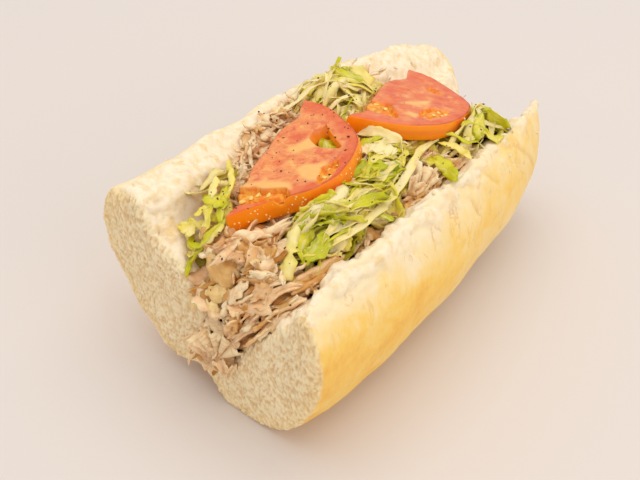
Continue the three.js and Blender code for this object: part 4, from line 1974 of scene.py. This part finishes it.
    def lay(self, layer: Layer) -> Sheets:
        """Lays pieces of one kind all over the filling.

        Args:
            layer: their kind, and how they lie.

        Returns:
            The pieces.
        """
        heap, rng = Sheets(), self.rng
        front = Vector((0.2, -1.0, 0.2))
        for place, normal in sprinkle(("chicken_filling",), rng, layer.tries, layer.gap, front):
            spot = Spot(place)
            hidden = self.covers.ray_cast(Vector(place) * MM, Vector((0, 0, 1)))[0] is not None
            thinned = ((hidden, self.hidden_share), (spot.in_fold, 0.5), (spot.at_front, 0.5))
            if any(here and rng.random() < share for here, share in thinned) or spot.under_left_lettuce:
                continue
            loose = layer.loose * (0.4 if spot.at_left or spot.at_far_end else 1.0)
            out = unit(0.8 * normal + (0, 0, 0.35) + loose * rng.normal(size=3))
            if spot.in_front and rng.random() > layer.front_share * (1 - 0.6 * spot.low_down):
                continue
            heading = np.array([0.62, 0.3, 0.72]) if spot.beside_crust else np.array([0.2, 1.0, 0.0])
            strays = 0.3 if spot.beside_crust or spot.along_crust else 1.2
            heading = unit(heading + rng.normal(0, strays, 3))
            share = rng.random()
            sunk = 0.8 * spot.at_left + 0.8 * spot.at_front + 0.8 * spot.in_fold + 2.0 * spot.at_far_end
            at = place + normal * (mix(*layer.lift, share) - sunk)
            small = 0.65 if spot.at_crust or spot.at_left else 1.0
            piece = layer.cut.piece(rng) * (1 - 0.4 * spot.low_down) * small
            # Painted light and shade: higher pieces get a lighter tone, lower ones more painted shade.
            # Pieces at the left are lighter, with little painted shade.
            tone = 0.8 * rng.random() + 0.4 * share - 0.1 + 0.32 * spot.at_left
            deep = (0.1 if spot.at_left else 1.0) * (1 - share) ** 2
            heap.add(stood(piece, at, heading, out), rng.uniform(*layer.cut.thick), tone, 0.0, deep)
        return heap

    def particular(self) -> Sheets:
        """The pieces of chicken with places of their own: fans, strands and flaps.

        Returns:
            The pieces.
        """
        heap = Sheets()
        for fan in self.fans:
            middle, deep = fan.shape(self.rng)
            heap.add(middle, fan.thick, fan.tone, 0.0, deep)
        for strand in self.pulled:
            heap.add(strand.shape(24, self.rng), self.strand_thick, strand.shade)
        for flap in self.flaps:
            heap.add(flap.shape(self.flakes.cut, self.rng), self.flap_thick, flap.tone)
        return heap

    def build(self) -> list[Object]:
        """Makes the core and all the pieces.

        Returns:
            The heaps of pieces.
        """
        self.covers = surface_of("lettuce_bed", "lettuce_front", "tomato_near", "tomato_far")
        self.heart()
        self.rng = np.random.default_rng(self.seed)
        heaps = [("chicken_flakes", self.lay(self.flakes), 0.7)]
        heaps.append(("chicken_shreds", self.lay(self.shreds), 0.8))
        heaps.append(("chicken_front", self.particular(), 0.35))
        made = [heap.build(name, self.finish.chicken(), Slot.CHICKEN, bent) for name, heap, bent in heaps]
        onions = self.lay(self.onions)
        for petal in self.petals:
            onions.add(petal.shape(self.onions.cut, self.rng), self.petal_thick, petal.tone)
        return [*made, onions.build("onion_pieces", self.finish.onion(), Slot.CHICKEN, 0.7)]


# ---- the lettuce ----


class HeightMap:
    """Heights of nodes of the frame over a level grid, in millimetres."""

    def __init__(self, nodes: tuple[str, ...], from_above: bool, missing: float) -> None:
        """Casts a ray for each cell.

        Args:
            nodes: what the rays may hit.
            from_above: cast down from above, or else up from below.
            missing: the height where they hit nothing.
        """
        surface = surface_of(*nodes)
        self.step = 1.5
        self.corner = np.array([-70.0, -115.0])
        cells = (94, 154)
        ceiling = 0.2
        start = ceiling if from_above else 0.0
        heading = Vector((0, 0, -1 if from_above else 1))
        self.heights = np.full(cells, missing)
        for i, j in np.ndindex(*cells):
            x, y = (self.corner + self.step * np.array([i, j])) * MM
            hit = surface.ray_cast(Vector((x, y, start)), heading)[0]
            if hit is not None:
                self.heights[i, j] = hit.z / MM

    def corners(self, flat: Array) -> tuple[list[Array], Array]:
        """What lies around each place.

        Args:
            flat: places on the level.

        Returns:
            Heights at the four cells around each, and where between them it lies.
        """
        cell = (flat - self.corner) / self.step
        low = np.clip(np.floor(cell).astype(int), 0, np.array(self.heights.shape) - 2)
        i, j = low[..., 0], low[..., 1]
        around = [self.heights[i + a, j + b] for a, b in ((0, 0), (1, 0), (0, 1), (1, 1))]
        return around, np.clip(cell - low, 0, 1)

    def at(self, flat: Array) -> Array:
        """The height at each place, blended between the cells."""
        (a, b, c, d), share = self.corners(flat)
        return mix(mix(a, b, share[..., 0]), mix(c, d, share[..., 0]), share[..., 1])

    def lowest(self, flat: Array) -> Array:
        """The lowest height around each place."""
        return np.minimum.reduce(self.corners(flat)[0])


@dataclass(frozen=True)
class LeafFinish:
    """Iceberg lettuce from cream-white ribs to lime-green edges."""

    rib: Colour = srgb(255, 232, 168)
    pale: Colour = srgb(246, 222, 104)
    lime: Colour = srgb(214, 204, 34)
    green: Colour = srgb(158, 170, 0)
    # Painted shade: the first for shreds deep in the pile, both for the cores between them.
    shade: Colour = srgb(170, 150, 24)
    deep: Colour = srgb(132, 110, 18)

    def leaf(self) -> Material:
        """The finish of the shreds and leaves.

        Returns:
            The material.
        """
        shader = Shader("lettuce")
        green = shader.varied(shader.attribute("green"), shader.noise(7 * MM, 3.0), 0.7)
        green = shader.math("ADD", green, shader.times(shader.attribute("edge"), 0.12))
        stops = ((0.1, self.rib), (0.36, self.pale), (0.64, self.lime), (0.95, self.green))
        colour = shader.ramp(green, *stops)
        veins = shader.noise(1.1, 2.0, 0.6, shader.on_sheet(0.12), 0.4)
        colour = shader.blend(shader.ramp(veins, (0.52, 0.0), (0.7, 0.5)), colour, self.rib)
        # Painted shade: shreds lower in the pile are darkened towards the shade colour.
        colour = shader.blend(shader.times(shader.attribute("deep"), 0.7), colour, self.shade)
        shader.set(Base_Color=colour, Roughness=0.38, Specular_IOR_Level=0.28)
        shader.set(Coat_Weight=0.05, Coat_Roughness=0.15)
        shader.set(Subsurface_Weight=0.3, Subsurface_Scale=2.0 * MM, Subsurface_Radius=(1.0, 0.9, 0.2))
        shader.relief(veins, 0.3 * MM, 0.8)
        return shader.material

    def core(self) -> Material:
        """What shows between the shreds: painted shade, paler where lit is high.

        Returns:
            The material.
        """
        shader = Shader("lettuce_core_shade")
        colour = shader.ramp(shader.noise(4 * MM, 3.0), (0.4, self.deep), (0.62, self.shade))
        shader.set(Base_Color=shader.blend(shader.attribute("lit"), colour, self.pale), Roughness=0.6)
        return shader.material


@dataclass
class Lettuce:
    """Shredded iceberg lettuce: many ribbons, some leafy pieces and particular strips."""

    spot_tries: int = 3000
    spot_gap: float = 2.0
    ribbons: int = 520
    leaves: int = 46
    crest: float = 38.0
    lowest: float = 50.0
    nearest: float = -86.0
    below_slice: float = 0.6
    front_drop: float = 9 * MM
    leaf_thick: float = 0.4
    strip_thick: float = 0.5
    cores: tuple[Core, ...] = (
        Core("lettuce_bed", "lettuce_bed_core", 2.0 * MM, 5, 1.2 * MM, 7 * MM, 61, 3.2 * MM),
        Core("lettuce_front", "lettuce_front_core", 2.0 * MM, 5, 1.2 * MM, 7 * MM, 62, 3.2 * MM),
    )
    strips: tuple[Strip, ...] = (
        Strip(((29.5, -79, 69), (33, -62, 72), (32.5, -45, 72), (30, -30, 71), (26, -15, 72.5),
            (20.5, 1, 71), (22, 8, 71)), 3.4, 0.14, 0.4, 0.6, 0.4),
        Strip(((-3, -15, 73), (0, -14, 76), (7, -12.5, 78.2), (14, -10, 77), (19, -12, 74),
            (20.5, -17, 73)), 4.2, 0.1, 0.8, 0.2, 0.15),
        Strip(((23, 6, 71), (29, 11, 69.5), (33, 10, 69.5), (39, 6, 70.5)), 3.2, 0.3, 0.2),
        Strip(((22, -6, 68.5), (28.5, -2.5, 69.5), (33.5, -3.5, 69.5), (38.5, -6.5, 70.5),
            (42, -8.6, 69.5)), 5.6, 0.66, 0.3, 0.3),
        Strip(((32, -46, 70), (34.5, -43, 70), (39, -43, 70.5)), 2.6, 0.8),
        Strip(((19.5, -69, 75.8), (21.3, -75, 74.4), (23.4, -81, 71.4), (27.6, -87.3, 66.6)), 6.2, 0.2,
            0.5, 0.7, 0.35),
        Strip(((29, -80, 69), (30.2, -73, 71.8), (29, -67, 73.5)), 6.5, 0.72, 0.3),
        Strip(((32.5, -60.5, 71.5), (34, -63.5, 67)), 3.4, 0.35),
        Strip(((-30, -55, 71), (-18, -65, 75.4), (-13.5, -70.5, 75), (-10, -75, 74)), 2.6, 0.4, 0.3),
        Strip(((-21, -69, 76.5), (-15, -77, 76.6), (-12.5, -80, 76)), 2.8, 0.2, 0.3),
        Strip(((-15.5, -82, 75), (-10, -79, 75), (-8.7, -75, 73.5)), 4.8, 0.68, 0.6),
        Strip(((-11.5, -81, 74.5), (-9.2, -86.5, 70), (-8.8, -89.5, 66)), 3.0, 0.45),
        Strip(((-12, -81.5, 74.5), (-14, -87, 71)), 2.2, 0.4),
        Strip(((-21.5, -88.5, 64), (-18, -88, 65), (-12, -89.5, 67)), 5.2, 0.3, 0.5),
        Strip(((-17.5, -88, 62.5), (-8.3, -91.3, 64.3), (-5, -84.5, 69.8), (-3.5, -82, 73)), 3.4, 0.66, 0.3),
        Strip(((-6.5, -90, 64.5), (-3.8, -83.5, 71.8)), 2.8, 0.3, -0.3),
        Strip(((-6.5, -90, 64), (-9, -94.5, 58), (-8, -98, 54.5)), 2.8, 0.66, 0.4),
        Strip(((-20, -84, 65.5), (-14, -86, 67), (-9, -84, 68.5)), 3.2, 0.3, 0.3),
        Strip(((-20, -79, 68), (-13, -80, 69.5), (-8, -79, 70.5)), 3.2, 0.15, -0.3),
        Strip(((-17, -88.5, 62.5), (-12, -90.5, 62.5), (-7.5, -90.5, 62.5)), 3.4, 0.25, 0.4),
        Strip(((-23, -75, 69.5), (-17, -75, 71.5), (-12, -73, 72)), 3.2, 0.4, 0.3),
        Strip(((-14, -92, 58), (-10, -92.5, 60), (-7, -89, 65)), 3.0, 0.15, 0.2),
        Strip(((-26, -66, 70), (-20, -67, 72), (-15, -66, 73)), 3.2, 0.2, 0.3),
        Strip(((-29.5, 9.5, 88), (-30, 8, 83.8), (-25.5, 7.5, 83), (-20, 9.5, 81.5), (-17, 13, 79.5)),
            4.2, 0.65, 0.6),
        Strip(((8, -60, 77), (13, -50, 77.5), (19, -40, 77.5), (22, -28, 77)), 5.0, 0.1, 0.2, 0.5, 0.4),
        Strip(((-7, -27, 77.6), (-3.3, -30.1, 78.6), (2, -33.6, 79.3), (6, -36, 79)), 7.0, 0.75, 0.1),
        Strip(((12, -38, 79), (17, -30, 78.5), (22, -24, 76), (26, -22, 72)), 5.0, 0.85, 0.3, 0.4, 0.4),
        Strip(((16, -66, 76), (22, -56, 76.5), (26, -44, 75.5), (28, -33, 73)), 4.0, 0.55, 0.3, 0.5, 0.4),
        Strip(((-16, -69, 73.5), (-11.5, -75, 74.2), (-7.5, -80.5, 72.5), (-4, -84, 70)), 3.8, 0.6, 0.3),
        Strip(((-13, -71, 71), (-9, -77.5, 71.3), (-4, -82.5, 69.5)), 4.6, 0.3, -0.3),
        Strip(((-12.5, -83, 70), (-7.5, -81, 70.5), (-3, -81, 70)), 3.6, 0.5, 0.3),
        Strip(((14.5, -42, 79.6), (19.5, -35, 79.6), (24, -26.5, 78.2)), 5.2, 0.85, 0.2, 0.4, 0.4),
        Strip(((22, -67, 76.8), (27, -57.5, 76.6), (30, -47, 76), (31.5, -38, 73)), 4.2, 0.62, 0.3, 0.5,
            0.4),
        Strip(((21, -72, 74.8), (26, -64.5, 75.4), (30, -56.5, 74.4)), 3.6, 0.8, -0.3, 0.4, 0.4),
        Strip(((12, -29, 80.2), (16.5, -23, 79.4), (20, -16.5, 77.6)), 6.0, 0.02, 0.2, 0.3, 0.3),
    )
    seed: int = 7
    finish: LeafFinish = LeafFinish()

    def hearts(self) -> None:
        """Makes the cores, lower at the left of the cut end."""
        for core in self.cores:
            mesh, places = core.shape()
            drop = self.front_drop * ramp(-50 * MM, -66 * MM, places[:, 1])
            places[:, 2] -= drop * ramp(6 * MM, -2 * MM, places[:, 0])
            # The cores get less painted shade at the far left.
            lit = 0.6 * (ramp(-15 * MM, 0.0, places[:, 1]) * ramp(8 * MM, 0.0, places[:, 0]))
            core.finished(mesh, places, lit, self.finish.core(), Slot.LETTUCE)

    def path(self, start: Array, heading: float, length: float, bend: float, depth: float) -> Array:
        """A line over the pile.

        Args:
            start: its middle on the level.
            heading: of its middle, in radians from +X.
            length: along the level.
            bend: how far it turns.
            depth: how far below the pile's surface it runs.

        Returns:
            Rows of places in millimetres.
        """
        count = max(9, int(length / 2.1))
        s = np.linspace(-1, 1, count)
        turn = heading + bend * s
        steps = np.stack([np.cos(turn), np.sin(turn)], axis=1) * length / count
        flat = np.cumsum(steps, axis=0)
        flat = start + flat - flat[count // 2]
        height = self.top.at(flat)
        for _ in range(4):
            padded = np.concatenate([height[:1], height, height[-1:]])
            height = 0.25 * padded[:-2] + 0.5 * height + 0.25 * padded[2:]
        waves = 0.9 * wavering(self.rng)(1.2 * s)
        return np.column_stack([flat, height - depth + waves])

    def on_filling(self, path: Array) -> bool:
        """Whether a line stays on the filling, clear of the outer crust."""
        clear = (np.abs(path[:, 0]) < self.crest) & (path[:, 2] > self.lowest)
        return bool(clear.all())

    def under(self, middle: Array) -> Array:
        """A piece's middle surface, pressed down where a tomato slice lies."""
        ceiling = self.ceiling.lowest(middle[..., :2]) - self.below_slice
        return np.dstack([middle[..., :2], np.minimum(middle[..., 2], ceiling)])

    def at_left_front(self, start: Array) -> bool:
        """Whether a place lies at the left of the nearer slice, where few shreds go."""
        return bool(start[0] < 0 and start[1] < -55)

    def shreds(self, spots: list[Array]) -> Sheets:
        """Ribbons that run along the sandwich.

        Args:
            spots: places on the pile.

        Returns:
            The pieces.
        """
        heap, rng = Sheets(), self.rng
        for _ in range(self.ribbons):
            start = spots[rng.integers(len(spots))][:2]
            spread = 0.35 if start[1] < 0 else 0.9
            share = rng.random()
            heading = math.pi / 2 - 0.15 + rng.normal(0, spread)
            at_far_left = start[1] > -12 and start[0] < 5
            length, bend = rng.uniform(16, 46), rng.normal(0, 0.4)
            depth = mix(4.2, -1.2, share) + (start[1] > 20) * 1.8 - at_far_left * 0.8
            path = self.path(start, heading, length, bend, depth)
            if not self.on_filling(path) or (self.at_left_front(start) and rng.random() < 0.75):
                continue
            width = rng.uniform(1.6, 4.4)
            middle = ribbon(path, width, rng, rng.normal(0, 0.6), rng.normal(0, 0.6), 0.34)
            green = (0.5 if at_far_left else 0.95) * rng.beta(0.7, 1.6)
            # Painted shade for shreds lower in the pile, little of it at the far left.
            deep = (0.15 if at_far_left else 1.0) * (1 - share) ** 1.3
            thick, tone = rng.uniform(0.35, 0.6), rng.random()
            if path[:, 1].min() > self.nearest:
                heap.add(self.under(middle), thick, tone, green, deep)
        return heap

    def leafy(self, spots: list[Array]) -> Sheets:
        """Wider pieces on top, at every angle.

        Args:
            spots: places on the pile.

        Returns:
            The pieces.
        """
        heap, rng = Sheets(), self.rng
        for _ in range(self.leaves):
            start = spots[rng.integers(len(spots))][:2]
            if self.at_left_front(start):
                continue
            heading, length = rng.uniform(0, math.pi), rng.uniform(9, 16)
            path = self.path(start, heading, length, rng.normal(0, 0.5), rng.uniform(-1.0, 1.2))
            middle = ribbon(path, rng.uniform(4.5, 8), rng, rng.normal(0, 0.45), rng.normal(0, 0.3), 0.25, 8)
            heap.add(self.under(middle), self.leaf_thick, rng.random(), rng.uniform(0.15, 0.75))
        return heap

    def build(self) -> list[Object]:
        """Makes the cores, the shreds, the leaves and the strips.

        Returns:
            The heaps of pieces.
        """
        beds = ("lettuce_bed", "lettuce_front")
        self.top = HeightMap((*beds, "chicken_filling", "roll"), from_above=True, missing=15.0)
        self.ceiling = HeightMap(("tomato_near", "tomato_far"), from_above=False, missing=300.0)
        self.hearts()
        self.rng = np.random.default_rng(self.seed)
        front = Vector((0.3, -1, 0.3))
        found = sprinkle(beds, self.rng, self.spot_tries, self.spot_gap, front)
        spots = [place for place, _ in found]
        heaps = [("lettuce_shreds", self.shreds(spots), 0.6)]
        heaps.append(("lettuce_leaves", self.leafy(spots), 0.9))
        strips = Sheets()
        for strip in self.strips:
            strips.add(strip.shape(26, self.rng), self.strip_thick, self.rng.random(), strip.shade)
        heaps.append(("lettuce_strips", strips, 0.7))
        return [heap.build(name, self.finish.leaf(), Slot.LETTUCE, bent) for name, heap, bent in heaps]


# ---- small things ----


@dataclass(frozen=True)
class Speck:
    """A kind of small body: its widths in millimetres, its shape for its width and how uneven it is."""

    name: str
    slot: Slot
    sizes: Pair
    shape: Place
    rough: float


@dataclass
class Specks:
    """Ground pepper on the filling and the slices, juice on a slice's skin and crumbs of the crust."""

    pepper: int = 200
    slice_pepper: int = 100
    drops: int = 70
    crumbs: int = 90
    crumb_tries: int = 360
    pepper_kind: Speck = Speck("pepper_specks", Slot.CHICKEN, (0.3, 0.85), (1.2, 0.8, 0.6), 0.2)
    drop_kind: Speck = Speck("juice_drops", Slot.TOMATO, (0.35, 0.95), (1.0, 1.0, 0.5), 0.02)
    crumb_kind: Speck = Speck("bread_crumbs", Slot.BREAD, (0.6, 1.6), (1.2, 0.9, 0.6), 0.2)
    filling_area: Outline = ((-42.0, -98.0), (36.0, 55.0))
    roll_area: Outline = ((-50.0, -100.0), (45.0, 90.0))
    dropped_from: float = 200 * MM
    lowest: float = 30 * MM
    arc_steps: int = 200
    arc_shown: tuple[int, int] = (4, 150)
    seed: int = 11
    black: Colour = srgb(44, 28, 18)
    brown: Colour = srgb(112, 70, 36)
    juice: Colour = srgb(255, 206, 120)
    crumb: Colour = srgb(250, 226, 180)

    def finish(self, name: str, low: Colour, high: Colour, rough: float) -> Material:
        """A finish between two colours.

        Args:
            name: of the material.
            low: one colour.
            high: the other.
            rough: its roughness.

        Returns:
            The material.
        """
        shader = Shader(name)
        colour = shader.ramp(shader.noise(2.5 * MM, 2.0), (0.4, low), (0.62, high))
        return shader.set(Base_Color=colour, Roughness=rough)

    def landed(self, count: int, targets: BVHTree, low: Pair, high: Pair) -> Spots:
        """Spots that things dropped from above land on.

        Args:
            count: how many are dropped.
            targets: what they land on.
            low: least x and y, in millimetres.
            high: greatest x and y.

        Returns:
            The place, in millimetres, and the normal of each spot.
        """
        spots = []
        for x, y in self.rng.uniform(low, high, (count, 2)):
            start = Vector((x * MM, y * MM, self.dropped_from))
            place, normal, _, _ = targets.ray_cast(start, Vector((0, 0, -1)))
            if place is not None and place.z > self.lowest and normal.z > 0.2:
                spots.append((np.array(place) / MM, np.array(normal)))
        return spots

    def scatter(self, kind: Speck, spots: Spots, material: Material) -> None:
        """Puts a small body at each spot.

        Args:
            kind: of the bodies.
            spots: places and normals.
            material: of the piece.
        """
        grains = Grains(around=8)
        for place, normal in spots:
            uneven = 1 + kind.rough * self.rng.normal(size=(len(grains.ball), 1))
            body = grains.ball * kind.shape * uneven * self.rng.uniform(*kind.sizes) / 2
            grains.bodies.append(stood(body, place + 0.1 * normal, self.rng.normal(size=3), normal) * MM)
        dress(new_object(kind.name, grains.mesh(), material), kind.slot)

    def build(self, filling: list[Object], slices: list[Object], roll: Object) -> None:
        """Scatters the three kinds.

        Args:
            filling: pieces that the pepper lands on.
            slices: pieces that the juice lies on.
            roll: where the crumbs lie.
        """
        self.rng = np.random.default_rng(self.seed)
        spots = self.landed(self.pepper, tree_of([*filling, *slices]), *self.filling_area)
        spots += self.landed(self.slice_pepper, tree_of(slices), *self.filling_area)
        self.scatter(self.pepper_kind, spots, self.finish("pepper", self.black, self.brown, 0.6))
        finish = self.finish("juice", self.juice, self.juice, 0.12)
        self.scatter(self.drop_kind, self.on_skin(), finish)
        spots = self.landed(self.crumb_tries, tree_of([roll]), *self.roll_area)
        finish = self.finish("crumbs", self.crumb, self.crumb, 0.8)
        self.scatter(self.crumb_kind, spots[: self.crumbs], finish)

    def on_skin(self) -> Spots:
        """Finds spots on the skin side of the nearer slice.

        Returns:
            The place, in millimetres, and the normal of each.
        """
        spots = []
        frame = NEAR_SLICE.frame()
        arc = smooth_line(np.array(NEAR_SLICE.arc), self.arc_steps)
        side = np.gradient(arc, axis=0)
        for index in self.rng.integers(*self.arc_shown, self.drops):
            out = unit(np.array([-side[index, 1], side[index, 0], 0.0]))
            down = self.rng.uniform(0.6, NEAR_SLICE.thick - 0.8)
            local = np.array([*(arc[index] + 0.35 * out[:2]), -down])
            spots.append((np.array(NEAR_SLICE.at) + local @ frame, out @ frame))
        return spots


def main() -> None:
    """Builds the sandwich piece by piece."""
    logging.basicConfig(level=logging.INFO, format="%(name)s %(message)s")
    Studio().build()
    roll = Roll().build()
    slices = [piece.build() for piece in (NEAR_SLICE, FAR_SLICE)]
    TomatoSeeds().build((NEAR_SLICE, FAR_SLICE))
    filling = Filling().build()
    filling += Lettuce().build()
    Specks().build(filling, slices, roll)


if __name__ == "__main__":
    main()
